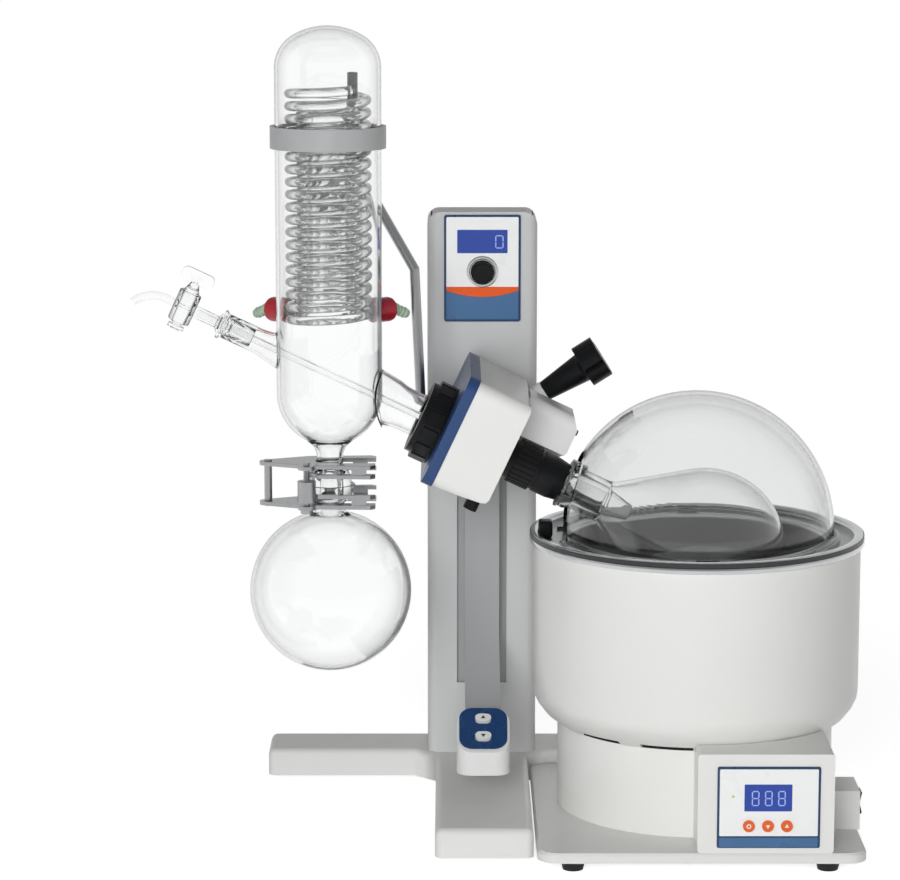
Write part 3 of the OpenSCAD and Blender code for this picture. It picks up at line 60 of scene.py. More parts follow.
def ranged(tree, value, start, stop, low=0, high=1):
    """Maps a value between start and stop onto the range from low to high."""
    node = tree.nodes.new("ShaderNodeMapRange")
    for socket, end in (("From Min", start), ("From Max", stop), ("To Min", low), ("To Max", high)):
        if isinstance(end, (int, float)):
            node.inputs[socket].default_value = end
        else:
            tree.links.new(end, node.inputs[socket])
    tree.links.new(value, node.inputs["Value"])
    return node.outputs["Result"]


def combined(tree, operation, first, second):
    """Joins two values by one step of arithmetic, kept between 0 and 1."""
    node = tree.nodes.new("ShaderNodeMath")
    node.operation = operation
    node.use_clamp = True
    tree.links.new(first, node.inputs[0])
    tree.links.new(second, node.inputs[1])
    return node.outputs[0]


def mixed(tree, share, plain, other):
    """Shows the other shader where the share is 1 and the plain one where it is 0."""
    node = tree.nodes.new("ShaderNodeMixShader")
    for socket, source in enumerate((share, plain, other)):
        tree.links.new(source, node.inputs[socket])
    return node.outputs[0]


fill_level, fill_overhead = 0.38, 0.04
mirror_by_camera, mirror_behind_object = 0.42, 0.75
mirror_low, mirror_overhead = 1.0, 0.5
room = bpy.data.worlds.new("room")
room.use_nodes = True
scene.world = room
tree = room.node_tree
tree.nodes.clear()
fill, backdrop, mirrored = [tree.nodes.new("ShaderNodeBackground") for part in range(3)]
for light in (fill, backdrop, mirrored):
    light.inputs["Color"].default_value = (1, 1, 1, 1)
backdrop.inputs["Strength"].default_value = 1.0
direction = tree.nodes.new("ShaderNodeSeparateXYZ")
tree.links.new(tree.nodes.new("ShaderNodeTexCoord").outputs["Generated"], direction.inputs[0])
away, up = direction.outputs["Y"], direction.outputs["Z"]
tree.links.new(ranged(tree, up, -0.1, 0.8, fill_level, fill_overhead), fill.inputs["Strength"])
by_depth = ranged(tree, away, -0.9, 0.1, mirror_by_camera, mirror_behind_object)
by_height = ranged(tree, up, 0.3, 0.6, mirror_low, mirror_overhead)
tree.links.new(combined(tree, "MULTIPLY", by_depth, by_height), mirrored.inputs["Strength"])
rays = tree.nodes.new("ShaderNodeLightPath").outputs
seen = combined(tree, "MAXIMUM", rays["Is Camera Ray"], rays["Is Transmission Ray"])
bounced = combined(tree, "SUBTRACT", rays["Is Glossy Ray"], rays["Is Transmission Ray"])
surround = mixed(tree, bounced, mixed(tree, seen, fill.outputs[0], backdrop.outputs[0]), mirrored.outputs[0])
tree.links.new(surround, tree.nodes.new("ShaderNodeOutputWorld").inputs["Surface"])

floor_reach = 7
bm = bmesh.new()
bmesh.ops.create_grid(bm, x_segments=1, y_segments=1, size=floor_reach)
floor_mesh = bpy.data.meshes.new("floor")
bm.to_mesh(floor_mesh)
bm.free()
floor = bpy.data.objects.new("floor", floor_mesh)
scene.collection.objects.link(floor)

floor_lift = 0.745
shadow_ends, white_starts = 0.45, 1.0
paper = bpy.data.materials.new("pale floor")
paper.use_nodes = True
tree = paper.node_tree
matt = tree.nodes["Principled BSDF"]
matt.inputs["Base Color"].default_value = (0.86, 0.86, 0.86, 1)
matt.inputs["Roughness"].default_value = 0.9
matt.inputs["Specular IOR Level"].default_value = 0.1
lift, white = [tree.nodes.new("ShaderNodeEmission") for part in range(2)]
lift.inputs["Strength"].default_value = floor_lift
lit = tree.nodes.new("ShaderNodeAddShader")
tree.links.new(matt.outputs[0], lit.inputs[0])
tree.links.new(lift.outputs[0], lit.inputs[1])
reach = tree.nodes.new("ShaderNodeVectorMath")
reach.operation = "LENGTH"
tree.links.new(tree.nodes.new("ShaderNodeTexCoord").outputs["Object"], reach.inputs[0])
fade = ranged(tree, reach.outputs["Value"], shadow_ends, white_starts)
rays = tree.nodes.new("ShaderNodeLightPath").outputs
seen = combined(tree, "MAXIMUM", rays["Is Camera Ray"], rays["Is Transmission Ray"])
seen = combined(tree, "MAXIMUM", seen, rays["Is Glossy Ray"])
shown = mixed(tree, seen, matt.outputs[0], mixed(tree, fade, lit.outputs[0], white.outputs[0]))
tree.links.new(shown, tree.nodes["Material Output"].inputs["Surface"])
floor_mesh.materials.append(paper)

for name, spot, aim, size, power in (
    ("front softbox", (-0.4, -2.55, 0.74), (0.05, -0.1, 0.3), 1.3, 42),
    ("left softbox", (-1.7, -0.9, 1.0), (-0.1, -0.15, 0.35), 0.8, 0.8),
    ("right softbox", (1.8, -0.7, 1.1), (0.15, -0.15, 0.3), 0.7, 2),
    ("back softbox", (0.5, 2.4, 0.5), (0.05, 0, 0.3), 1.0, 21),
):
    lamp = bpy.data.objects.new(name, bpy.data.lights.new(name, "AREA"))
    lamp.data.shape = "SQUARE"
    lamp.data.size = size
    lamp.data.energy = power
    lamp.location = spot
    lamp.visible_glossy = lamp.visible_transmission = False
    lamp.rotation_mode = "QUATERNION"
    lamp.rotation_quaternion = (Vector(aim) - Vector(spot)).to_track_quat("-Z", "Y")
    scene.collection.objects.link(lamp)


# Base casting. A hollow aluminium casting shaped like a T with a front foot, in off-white powder paint. The
# paint has a fine orange peel, a slightly uneven tone and a thin clear top coat.
def shader_group(name, takes, gives):
    """Starts a node group with named inputs and outputs, and returns it with its two ends."""
    group = bpy.data.node_groups.new(name, "ShaderNodeTree")
    for label, value in takes:
        kind = "NodeSocketColor" if isinstance(value, tuple) else "NodeSocketFloat"
        group.interface.new_socket(label, in_out="INPUT", socket_type=kind).default_value = value
    for label, kind in gives:
        group.interface.new_socket(label, in_out="OUTPUT", socket_type=kind)
    return group, group.nodes.new("NodeGroupInput"), group.nodes.new("NodeGroupOutput")


skin_outputs = (
    ("Color", "NodeSocketColor"), ("Roughness", "NodeSocketFloat"), ("Height", "NodeSocketFloat"),
)


def noise_in(tree, place, scale, detail):
    """Adds a noise texture, whose scale is a number or a socket."""
    noise = tree.nodes.new("ShaderNodeTexNoise")
    noise.inputs["Detail"].default_value = detail
    if isinstance(scale, (int, float)):
        noise.inputs["Scale"].default_value = scale
    else:
        tree.links.new(scale, noise.inputs["Scale"])
    tree.links.new(place, noise.inputs["Vector"])
    return noise.outputs["Fac"]


def spread(tree, noise, low, high):
    """Spreads the middle half of a noise over the range from low to high."""
    return ranged(tree, noise, 0.25, 0.75, low, high)


def tinted(tree, colour, amount):
    """Lightens or darkens a colour by an amount."""
    scaled = tree.nodes.new("ShaderNodeVectorMath")
    scaled.operation = "SCALE"
    tree.links.new(colour, scaled.inputs[0])
    tree.links.new(amount, scaled.inputs["Scale"])
    return scaled.outputs[0]


surface, taken, given = shader_group(
    "coated surface",
    (("Colour", (0.8, 0.8, 0.8, 1)), ("Grain", 1100.0), ("Smoothest", 0.3), ("Roughest", 0.45),
     ("Unevenness", 0.96)),
    skin_outputs,
)
place = surface.nodes.new("ShaderNodeTexCoord").outputs["Object"]
tone = spread(surface, noise_in(surface, place, 11, 3), taken.outputs["Unevenness"], 1.0)
patches = noise_in(surface, place, 70, 4)
gloss = spread(surface, patches, taken.outputs["Smoothest"], taken.outputs["Roughest"])
surface.links.new(tinted(surface, taken.outputs["Colour"], tone), given.inputs["Color"])
surface.links.new(gloss, given.inputs["Roughness"])
surface.links.new(noise_in(surface, place, taken.outputs["Grain"], 2), given.inputs["Height"])


def skinned(name, group, values, bump, depth):
    """Starts a material whose colour, gloss and relief come from a group. Returns it with its shader."""
    made = bpy.data.materials.new(name)
    made.use_nodes = True
    tree = made.node_tree
    shader = tree.nodes["Principled BSDF"]
    skin = tree.nodes.new("ShaderNodeGroup")
    skin.node_tree = group
    for label, value in values:
        skin.inputs[label].default_value = value
    relief = tree.nodes.new("ShaderNodeBump")
    relief.inputs["Strength"].default_value = bump
    relief.inputs["Distance"].default_value = depth
    tree.links.new(skin.outputs["Color"], shader.inputs["Base Color"])
    tree.links.new(skin.outputs["Roughness"], shader.inputs["Roughness"])
    tree.links.new(skin.outputs["Height"], relief.inputs["Height"])
    tree.links.new(relief.outputs["Normal"], shader.inputs["Normal"])
    return made, shader


def coated(
    name, colour, grain=1100, rough=(0.34, 0.46), uneven=0.965, bump=0.05, coat=0.0, metal=0.0, shine=0.5
):
    """A painted or moulded material with a fine grain, a slightly uneven tone and patchy gloss."""
    values = (
        ("Colour", (*colour, 1)), ("Grain", grain), ("Smoothest", rough[0]), ("Roughest", rough[1]),
        ("Unevenness", uneven),
    )
    made, shader = skinned(name, surface, values, bump, 0.0003)
    shader.inputs["Coat Weight"].default_value = coat
    shader.inputs["Coat Roughness"].default_value = 0.08
    shader.inputs["Metallic"].default_value = metal
    shader.inputs["Specular IOR Level"].default_value = shine
    return made


body_of = {node: body for body, nodes in frame["record"]["behaviour"]["bodies"].items() for node in nodes}
to_metres = Matrix.Scale(0.001, 4)
weld = 0.000002


def settle(bm, name, body, material, crease=30, replaced=()):
    """Turns a finished bmesh, in metres, into a piece of the instrument."""
    mesh = bpy.data.meshes.new(name)
    for face in bm.faces:
        face.smooth = True
    bm.to_mesh(mesh)
    bm.free()
    mesh.set_sharp_from_angle(angle=math.radians(crease))
    mesh.materials.append(material)
    piece = bpy.data.objects.new(name, mesh)
    scene.collection.objects.link(piece)
    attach(piece, body)
    if replaced:
        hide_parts(*replaced)
    return piece


def softened(node, name, material, width=0.8, segments=2):
    """Copies a solid, joins its flat faces and rounds its outer edges by the width, in millimetres."""
    flat, steep = math.radians(1), math.radians(35)
    bm = bmesh.new()
    bm.from_mesh(frame["nodes"][node].data)
    bmesh.ops.remove_doubles(bm, verts=bm.verts, dist=weld)
    bmesh.ops.dissolve_limit(bm, angle_limit=flat, verts=bm.verts, edges=bm.edges)
    bmesh.ops.triangulate(bm, faces=[f for f in bm.faces if len(f.verts) > 4])
    if width:
        outer = [
            e for e in bm.edges if len(e.link_faces) == 2 and e.is_convex and e.calc_face_angle(0) > steep
        ]
        bmesh.ops.bevel(
            bm, geom=outer, offset=width / 1000, segments=segments, profile=0.5, affect="EDGES",
            clamp_overlap=True, material=-1,
        )
    piece = settle(bm, name, body_of[node], material, crease=40, replaced=[node])
    level = piece.modifiers.new("even shading", "WEIGHTED_NORMAL")
    level.keep_sharp = True
    return piece


white_powder = coated("white powder paint", (0.80, 0.80, 0.785), rough=(0.36, 0.47), coat=0.1)
softened("base_casting", "cast_base", white_powder, width=0)

# Rubber pads. Five moulded pads pressed into the underside of the casting, and four feet under the bath.
# They are matt and slightly dusty.
matt_rubber = coated(
    "matt rubber", (0.02, 0.02, 0.021), grain=700, rough=(0.6, 0.8), uneven=0.8, bump=0.15, shine=0.3
)


def dress(node, material):
    """Gives a solid that stays as it is its material."""
    mesh = frame["nodes"][node].data
    mesh.materials.clear()
    mesh.materials.append(material)


dress("base_pads", matt_rubber)
dress("bath_feet", matt_rubber)

# Column. A drawn steel upright with rounded corners and a long front slot, in the base's white powder paint
# coloured greyer as painted shade, for the shade that falls below the head. A pressed cover closes the back.
shaded_column_powder = coated("white powder paint greyed as painted shade", (0.6, 0.605, 0.61), rough=(0.36, 0.47), coat=0.1)
softened("column_shell", "upright", shaded_column_powder, width=1.0)
softened("rear_cover", "rear_cover_plate", shaded_column_powder, width=0.7)

# Parts inside. Ground steel rails, the tubular lift actuator with its rod, the carriage on bronze bushes,
# the circuit board, the motor with its gears and bearings, and the bath's cast heater. Steel is ground
# lengthways, so its gloss is streaked.
worked, taken, given = shader_group(
    "worked metal",
    (("Colour", (0.6, 0.6, 0.6, 1)), ("Streak", 500.0), ("Smoothest", 0.2), ("Roughest", 0.35)),
    skin_outputs,
)
place = worked.nodes.new("ShaderNodeTexCoord").outputs["Object"]
stretch = worked.nodes.new("ShaderNodeMapping")
stretch.inputs["Scale"].default_value = (1, 1, 0.04)
worked.links.new(place, stretch.inputs["Vector"])
lines = noise_in(worked, stretch.outputs[0], taken.outputs["Streak"], 3)
tone = spread(worked, noise_in(worked, place, 26, 3), 0.9, 1.0)
gloss = spread(worked, lines, taken.outputs["Smoothest"], taken.outputs["Roughest"])
worked.links.new(tinted(worked, taken.outputs["Colour"], tone), given.inputs["Color"])
worked.links.new(gloss, given.inputs["Roughness"])
worked.links.new(lines, given.inputs["Height"])


def metallic(name, colour, rough=(0.2, 0.35), streak=500, bump=0.03):
    """A bare or plated metal whose gloss is streaked by how it was worked."""
    values = (("Colour", (*colour, 1)), ("Streak", streak), ("Smoothest", rough[0]), ("Roughest", rough[1]))
    made, shader = skinned(name, worked, values, bump, 0.0002)
    shader.inputs["Metallic"].default_value = 1.0
    return made


ground_steel = metallic("ground steel", (0.62, 0.63, 0.64))
bronze_bush = metallic("sintered bronze", (0.55, 0.36, 0.17), rough=(0.35, 0.5))
cast_metal = coated(
    "bead-blasted aluminium", (0.5, 0.51, 0.52), grain=1600, rough=(0.42, 0.55), bump=0.12, metal=1.0
)
arm_powder = coated("mid-grey powder paint", (0.4, 0.405, 0.412), rough=(0.38, 0.5))
black_moulding = coated(
    "black moulding", (0.007, 0.0075, 0.0085), grain=1500, rough=(0.3, 0.44), uneven=0.85, bump=0.08,
    shine=0.2,
)
white_moulding = coated("white moulding", (0.78, 0.79, 0.78), grain=900, rough=(0.3, 0.4), bump=0.03)
board_green = coated("circuit board", (0.02, 0.16, 0.06), grain=2200, rough=(0.3, 0.4), uneven=0.8)
for node, material in (
    ("guide_rails", ground_steel), ("actuator_rod", ground_steel), ("actuator_body", black_moulding),
    ("lift_carriage", arm_powder), ("guide_bushes", bronze_bush), ("control_board", board_green),
    ("bearings", ground_steel), ("drive_motor", ground_steel), ("shaft_seal", white_moulding),
    ("motor_pinion", ground_steel), ("spindle_shaft", ground_steel), ("drive_gear", white_moulding),
    ("bath_heater", cast_metal),
):
    dress(node, material)

# Mains inlet and rockers. Black mouldings: a recessed three-pin inlet in the rear cover and a rocker over
# it, with another rocker on the bath's side box.
softened("power_inlet", "mains_inlet", black_moulding, width=0.3)
softened("mains_rocker", "mains_switch_rocker", black_moulding, width=0.5)
softened("bath_rocker", "bath_switch_rocker", black_moulding, width=0.5)

# Lift arm and pod. The arm is bent steel plate in powder paint, and ends in a moulded pod with a sloped
# blue face. Two white oval buttons stand in the face.
softened("lift_arm", "bent_lift_arm", arm_powder, width=1.2)
softened("pod_shell", "pod_skirt", white_moulding, width=1.4, segments=3)
deep_blue = coated(
    "deep blue film", (0.014, 0.055, 0.17), grain=1800, rough=(0.22, 0.32), uneven=0.85, shine=0.35
)
softened("pod_face", "pod_face_film", deep_blue, width=0.4)
softened("up_button", "raise_button", white_moulding, width=0.5)
softened("down_button", "lower_button", white_moulding, width=0.5)

# Head. A cast box in satin white, closed on the left by a blue enamelled flange plate, with a moulded hood
# over the motor and a small plug in the hood's end. The lock button, the tilt knob, the glass nut and the
# flask's release sleeve are black mouldings.
satin_white = coated("satin white paint", (0.83, 0.83, 0.81), rough=(0.3, 0.4), coat=0.15)
band_blue = coated("blue enamel", (0.026, 0.066, 0.185), rough=(0.28, 0.38), uneven=0.9, shine=0.35)
softened("head_housing", "gear_housing", satin_white, width=1.2, segments=3)
softened("head_flange", "flange_band", band_blue, width=1.0)
softened("motor_cover", "motor_hood", white_moulding, width=1.2, segments=3)
softened("spindle_lock_button", "spindle_lock", black_moulding, width=0.6)
softened("tilt_lock_knob", "tilt_knob", black_moulding, width=1.0, segments=3)
softened("condenser_nut", "glass_nut", black_moulding, width=0.5)
softened("release_sleeve", "flask_release", black_moulding, width=0.4)


def turned(name, section, axis, body, material, steps=72, crease=30, replaced=()):
    """Spins a closed half section, given as (radius, distance along the axis), right round its axis."""
    bm = bmesh.new()
    ring = [bm.verts.new((r, 0, s)) for r, s in section]
    for near, far in zip(ring, ring[1:] + ring[:1]):
        bm.edges.new((near, far))
    bmesh.ops.spin(
        bm, geom=bm.verts[:] + bm.edges[:], cent=(0, 0, 0), axis=(0, 0, 1), angle=math.tau, steps=steps,
        use_merge=True,
    )
    bmesh.ops.remove_doubles(bm, verts=bm.verts, dist=0.001)
    bmesh.ops.recalc_face_normals(bm, faces=bm.faces)
    bm.transform(to_metres @ axis)
    return settle(bm, name, body, material, crease, replaced)


glass_y = -148
spindle_z, spindle_slope = 311, 25.2
slope = Matrix.Rotation(math.radians(spindle_slope), 4, "Y")
head_axis = Matrix.Translation((0, glass_y, spindle_z)) @ slope
z_to_x = Matrix.Rotation(math.radians(90), 4, "Y")
along_spindle = head_axis @ z_to_x
hood_end, plug_r = 64, 2.4
turned(
    "hood_plug",
    ((0, hood_end - 0.2), (plug_r, hood_end - 0.2), (plug_r, hood_end + 1), (2, hood_end + 1.4),
     (0, hood_end + 1.4)),
    head_axis @ Matrix.Translation((0, 9, 40)) @ z_to_x, "head", black_moulding, steps=24,
)

# Control panel. A printed film on a plate near the column's top: dark blue frame, white field, a display
# window, an orange crescent and a blue foot. The knob stands in a turned metal ring. Lengths are in
# millimetres.
towards_user = Matrix.Rotation(math.radians(90), 4, "X")


def raise_film(bm, name, place, thick, body, material, replaced=()):
    """Gives a flat outline its thickness and stands it in its place."""
    front = bmesh.ops.extrude_face_region(bm, geom=bm.faces[:])["geom"]
    bmesh.ops.translate(bm, vec=(0, 0, thick), verts=[v for v in front if isinstance(v, bmesh.types.BMVert)])
    bmesh.ops.recalc_face_normals(bm, faces=bm.faces)
    bm.transform(to_metres @ place)
    return settle(bm, name, body, material, replaced=replaced)


def film(name, middle, size, thick, corner, body, material, replaced=()):
    """A thin plate with rounded corners that faces the user, with its back on the given point."""
    bm = bmesh.new()
    bmesh.ops.create_grid(bm, x_segments=1, y_segments=1, size=0.5)
    bmesh.ops.scale(bm, vec=(*size, 1), verts=bm.verts)
    bmesh.ops.bevel(
        bm, geom=bm.verts[:], offset=corner, offset_type="OFFSET", segments=5, profile=0.5,
        affect="VERTICES", material=-1,
    )
    place = Matrix.Translation(middle) @ towards_user
    return raise_film(bm, name, place, thick, body, material, replaced)


segment_blue = coated("lit segment", (0.42, 0.52, 0.95), rough=(0.4, 0.5), uneven=0.95)


def digit(name, middle, wide, high, body, dark=()):
    """A seven-segment digit on a display, made of short raised bars. The dark ones are left out."""
    bars = {
        "top": (0, high / 2, True), "middle": (0, 0, True), "bottom": (0, -high / 2, True),
        "high left": (-wide / 2, high / 4, False), "high right": (wide / 2, high / 4, False),
        "low left": (-wide / 2, -high / 4, False), "low right": (wide / 2, -high / 4, False),
    }
    bar_wide, bar_thick = 0.9, 0.08
    bm = bmesh.new()
    for bar, (x, z, level) in bars.items():
        if bar in dark:
            continue
        made = bmesh.ops.create_grid(bm, x_segments=1, y_segments=1, size=0.5)["verts"]
        length = wide * 0.82 if level else high * 0.42
        bmesh.ops.scale(bm, vec=(length, bar_wide, 1) if level else (bar_wide, length, 1), verts=made)
        bmesh.ops.translate(bm, vec=(x, z, 0), verts=made)
    place = Matrix.Translation(middle) @ towards_user
    return raise_film(bm, name, place, bar_thick, body, segment_blue)


def printed(name, colour, uneven=0.965):
    """Screen printing on a film, with a fine grain and a low gloss."""
    return coated(name, colour, grain=1800, rough=(0.25, 0.35), uneven=uneven, shine=0.3)


frame_blue = printed("dark blue print", (0.022, 0.055, 0.13))
print_blue = printed("blue print", (0.072, 0.175, 0.36), uneven=0.8)
print_orange = printed("orange print", (0.84, 0.11, 0.012), uneven=0.92)
panel_white = coated("white panel film", (0.92, 0.93, 0.93), grain=1800, rough=(0.25, 0.35), coat=0.2)
display_blue = coated(
    "display window", (0.022, 0.068, 0.4), grain=600, rough=(0.1, 0.2), uneven=0.85, bump=0.01, shine=0.35
)
column_face, plate_thick, field_thick, window_thick = -33, 1.5, 0.15, 0.12
face_y = column_face - plate_thick
field_wide = 60.2
film(
    "panel_plate", (0, column_face, 441.5), (64, 89.6), plate_thick, 2, "stand", frame_blue,
    ["control_panel"],
)
film("panel_field", (0, face_y, 455), (field_wide, 58.8), field_thick, 1.2, "stand", panel_white)
film("panel_display", (0, face_y - field_thick, 464), (42, 19.6), window_thick, 0.6, "stand", display_blue)
digit_y = face_y - field_thick - window_thick
digit("display_zero", (14.2, digit_y, 463.7), 6.0, 10.2, "stand", dark=("middle",))


def swept_band(name, upper, lower, material):
    """A printed band as wide as the white field. Each edge has two heights, at its ends and its middle."""
    bm = bmesh.new()
    bmesh.ops.create_grid(bm, x_segments=24, y_segments=1, size=0.5)
    bmesh.ops.scale(bm, vec=(field_wide, 1, 1), verts=bm.verts)
    for v in bm.verts:
        ends, middle = lower if v.co.y < 0 else upper
        bow = 1 - (v.co.x / (field_wide / 2)) ** 2
        v.co.y = ends + (middle - ends) * bow
    band_thick = 0.2
    place = Matrix.Translation((0, face_y, 0)) @ towards_user
    return raise_film(bm, name, place, band_thick, "stand", material)


swept_band("panel_crescent", (426, 426), (422.8, 417.4), print_orange)
swept_band("panel_foot", (422.6, 417.2), (398.6, 398.6), print_blue)
turned_metal = metallic("turned aluminium", (0.62, 0.63, 0.64), rough=(0.16, 0.28), streak=900)
knob_z = 438.7
turned(
    "knob_ring", ((10.4, 0.1), (10.4, 1.2), (10.9, 1.7), (12.4, 1.7), (13.2, 1.0), (13.2, 0.1)),
    Matrix.Translation((0, face_y, knob_z)) @ towards_user, "stand", turned_metal,
)
softened("speed_knob", "speed_dial", black_moulding, width=0.3)

# Arrows on the pod's buttons: black triangles printed on the two white ovals, one up and one down. The
# ovals stand square to the pod's sloped face.
pod_slope, button_proud = 34.5, 4.1
pod_plane = Matrix.Translation((0, -188, 67)) @ Matrix.Rotation(math.radians(pod_slope), 4, "X")
arrow_black = coated("black print", (0.01, 0.01, 0.012), grain=1800, rough=(0.35, 0.45))


def arrow(name, place, size, down, body, material):
    """A small printed triangle that points up or down."""
    bm = bmesh.new()
    bmesh.ops.create_circle(bm, cap_ends=True, segments=3, radius=size)
    if down:
        bmesh.ops.rotate(bm, cent=(0, 0, 0), matrix=Matrix.Rotation(math.pi, 3, "Z"), verts=bm.verts)
    return raise_film(bm, name, place, 0.12, body, material)


for name, along, down, button in (
    ("raise_arrow", 33, False, "up_button"),
    ("lower_arrow", 14, True, "down_button"),
):
    place = pod_plane @ Matrix.Translation((0, along, button_proud))
    arrow(name, place, 2.2, down, button, arrow_black)


# Glass. Blown borosilicate, clear. Its colour is darkened towards the outline as painted shade, for the dark
# edge that refraction gives a tube's wall. The shades say how much light passes at each slant, from a wall
# seen square on to one seen along its surface.
def glassware(name, body=(0.985, 0.99, 0.99), shades=((0.34, 1), (0.7, 0.74), (0.88, 0.22), (1.0, 0.04))):
    """Clear glass or plastic whose colour darkens towards its outline, as painted shade."""
    made = bpy.data.materials.new(name)
    made.use_nodes = True
    tree = made.node_tree
    shader = tree.nodes["Principled BSDF"]
    shader.inputs["Transmission Weight"].default_value = 1.0
    shader.inputs["IOR"].default_value = 1.47
    slant = tree.nodes.new("ShaderNodeLayerWeight")
    slant.inputs["Blend"].default_value = 0.5
    ramp = tree.nodes.new("ShaderNodeValToRGB")
    stops = ramp.color_ramp.elements
    last = len(shades) - 1
    for number, (position, shade) in enumerate(shades):
        if number in (0, last):
            stop = stops[0 if number == 0 else -1]
            stop.position = position
        else:
            stop = stops.new(position)
        stop.color = (*(shade * c for c in body), 1)
    tree.links.new(slant.outputs["Facing"], ramp.inputs[0])
    tree.links.new(ramp.outputs[0], shader.inputs["Base Color"])
    place = tree.nodes.new("ShaderNodeTexCoord").outputs["Object"]
    tree.links.new(spread(tree, noise_in(tree, place, 40, 2), 0.0012, 0.012), shader.inputs["Roughness"])
    return made


clear_glass = glassware("blown glass")
# The fine tubes, the coil and the hose ports take stronger painted shade at their outlines, and the ports
# are darkened by it even where seen square on.
fine_glass = glassware("fine tube glass", shades=((0.42, 1), (0.66, 0.62), (0.85, 0.18), (1.0, 0.04)))
coil_glass = glassware("coil glass", shades=((0.25, 1), (0.44, 0.42), (0.64, 0.05), (1.0, 0.0)))
port_glass = glassware("hose port glass", shades=((0.2, 0.9), (0.5, 0.3), (0.8, 0.06), (1.0, 0.02)))
dome_clear = glassware(
    "clear dome", body=(0.925, 0.93, 0.93), shades=((0.45, 1), (0.78, 0.7), (0.9, 0.1), (1.0, 0.0))
)


def clear_copy(node, name, material):
    """Copies a clear solid with its curves smoothed."""
    bm = bmesh.new()
    bm.from_mesh(frame["nodes"][node].data)
    bmesh.ops.remove_doubles(bm, verts=bm.verts, dist=weld)
    return settle(bm, name, body_of[node], material, crease=25, replaced=[node])


def arc(centre, radius, start, stop, steps):
    """Points of an arc in a section, as (radius, distance along the axis), between two angles in degrees."""
    angles = [math.radians(start + (stop - start) * i / steps) for i in range(steps + 1)]
    return [(centre[0] + radius * math.cos(a), centre[1] + radius * math.sin(a)) for a in angles]


# Receiving flask: a round bulb under a short neck, a collar and the cup of its ball joint, blown in one
# piece. The fork clamp holds the cup against the ball on the condenser.
condenser_x = -124
at_condenser = Matrix.Translation((condenser_x, glass_y, 0))
flask_r, glass_wall = 65.5, 2.5
flask_z, joint_z = 192, 281
neck_r, neck_bore, collar_r, cup_r, cup_bore = 10.5, 8, 11.7, 20.4, 17.8
turned(
    "receiver",
    arc((0, flask_z), flask_r, -90, 76.3, 60)
    + [(neck_r + 2.3, 257.4), (neck_r + 0.7, 260), (neck_r, 262.8), (collar_r - 0.3, 263.2),
       (collar_r, 263.8), (collar_r, 266.1), (13.9, 266.1)]
    + arc((0, joint_z), cup_r, -47, -4, 14) + [(19.4, joint_z - 1), (cup_bore, joint_z - 1.4)]
    + arc((0, joint_z), cup_bore, -8, -63, 14)
    + [(neck_bore, 264.6), (neck_bore, 258), (neck_bore + 0.6, 256)]
    + arc((0, flask_z), flask_r - glass_wall, 80, -90, 60),
    at_condenser, "head", clear_glass, steps=96, crease=35, replaced=["receiving_flask"],
)

# Condenser jacket: a round-bottomed tube under a flattened crown, drawn down to the ball of the joint. Its
# side port, feed inlet and hose ports are drawn tubes whose flared ends are welded on along the jacket's
# curve.
jacket_r, ball_r = 42.5, 17.5
bottom_z, crown_z, crown_r, shoulder_r = 354, 593, 55, 30
blend = 60
shoulder = (jacket_r - shoulder_r, 614.65)
turned(
    "condenser_jacket",
    [(neck_bore, 265.6), (neck_bore + 0.6, 265.2), (9.8, 266.6)] + arc((0, joint_z), ball_r, -54, 42, 20)
    + [(neck_r + 0.7, 293.4), (neck_r, 294.6), (neck_r, 301), (11, 305.4), (12.6, 309.4), (15.4, 312.6),
       (19, 315.6)]
    + arc((0, bottom_z), jacket_r, -63, 0, 22) + arc(shoulder, shoulder_r, 0, blend, 16)
    + arc((0, crown_z), crown_r, blend, 90, 14) + arc((0, crown_z), crown_r - glass_wall, 90, blend, 14)
    + arc(shoulder, shoulder_r - glass_wall, blend, 0, 16)
    + arc((0, bottom_z), jacket_r - glass_wall, 0, -62, 22)
    + [(13.6, 315.6), (10.4, 312.4), (neck_bore + 0.6, 308.6), (neck_bore, 304)],
    at_condenser, "head", clear_glass, steps=96, crease=50, replaced=["condenser_body"],
)


def welded_tube(name, section, ring, right_side):
    """Spins a tube along the spindle, and moves the ring of points at its root onto the jacket."""
    piece = turned(
        name, section, along_spindle, "head", clear_glass, steps=64, crease=50,
        replaced=["condenser_body"],
    )
    weld_r = jacket_r - 0.1
    onto = along_spindle.to_3x3() @ Vector((0, 0, 1))
    for v in piece.data.vertices:
        place = along_spindle.inverted() @ (v.co * 1000)
        if abs(place.z - ring) > 0.01:
            continue
        side = along_spindle @ Vector((place.x, place.y, 0)) - Vector((condenser_x, glass_y, 0))
        a = onto.x ** 2 + onto.y ** 2
        b = side.x * onto.x + side.y * onto.y
        c = side.x ** 2 + side.y ** 2 - weld_r ** 2
        root = math.sqrt(b * b - a * c)
        meets = ((root if right_side else -root) - b) / a
        v.co = (along_spindle @ Vector((place.x, place.y, meets))) / 1000


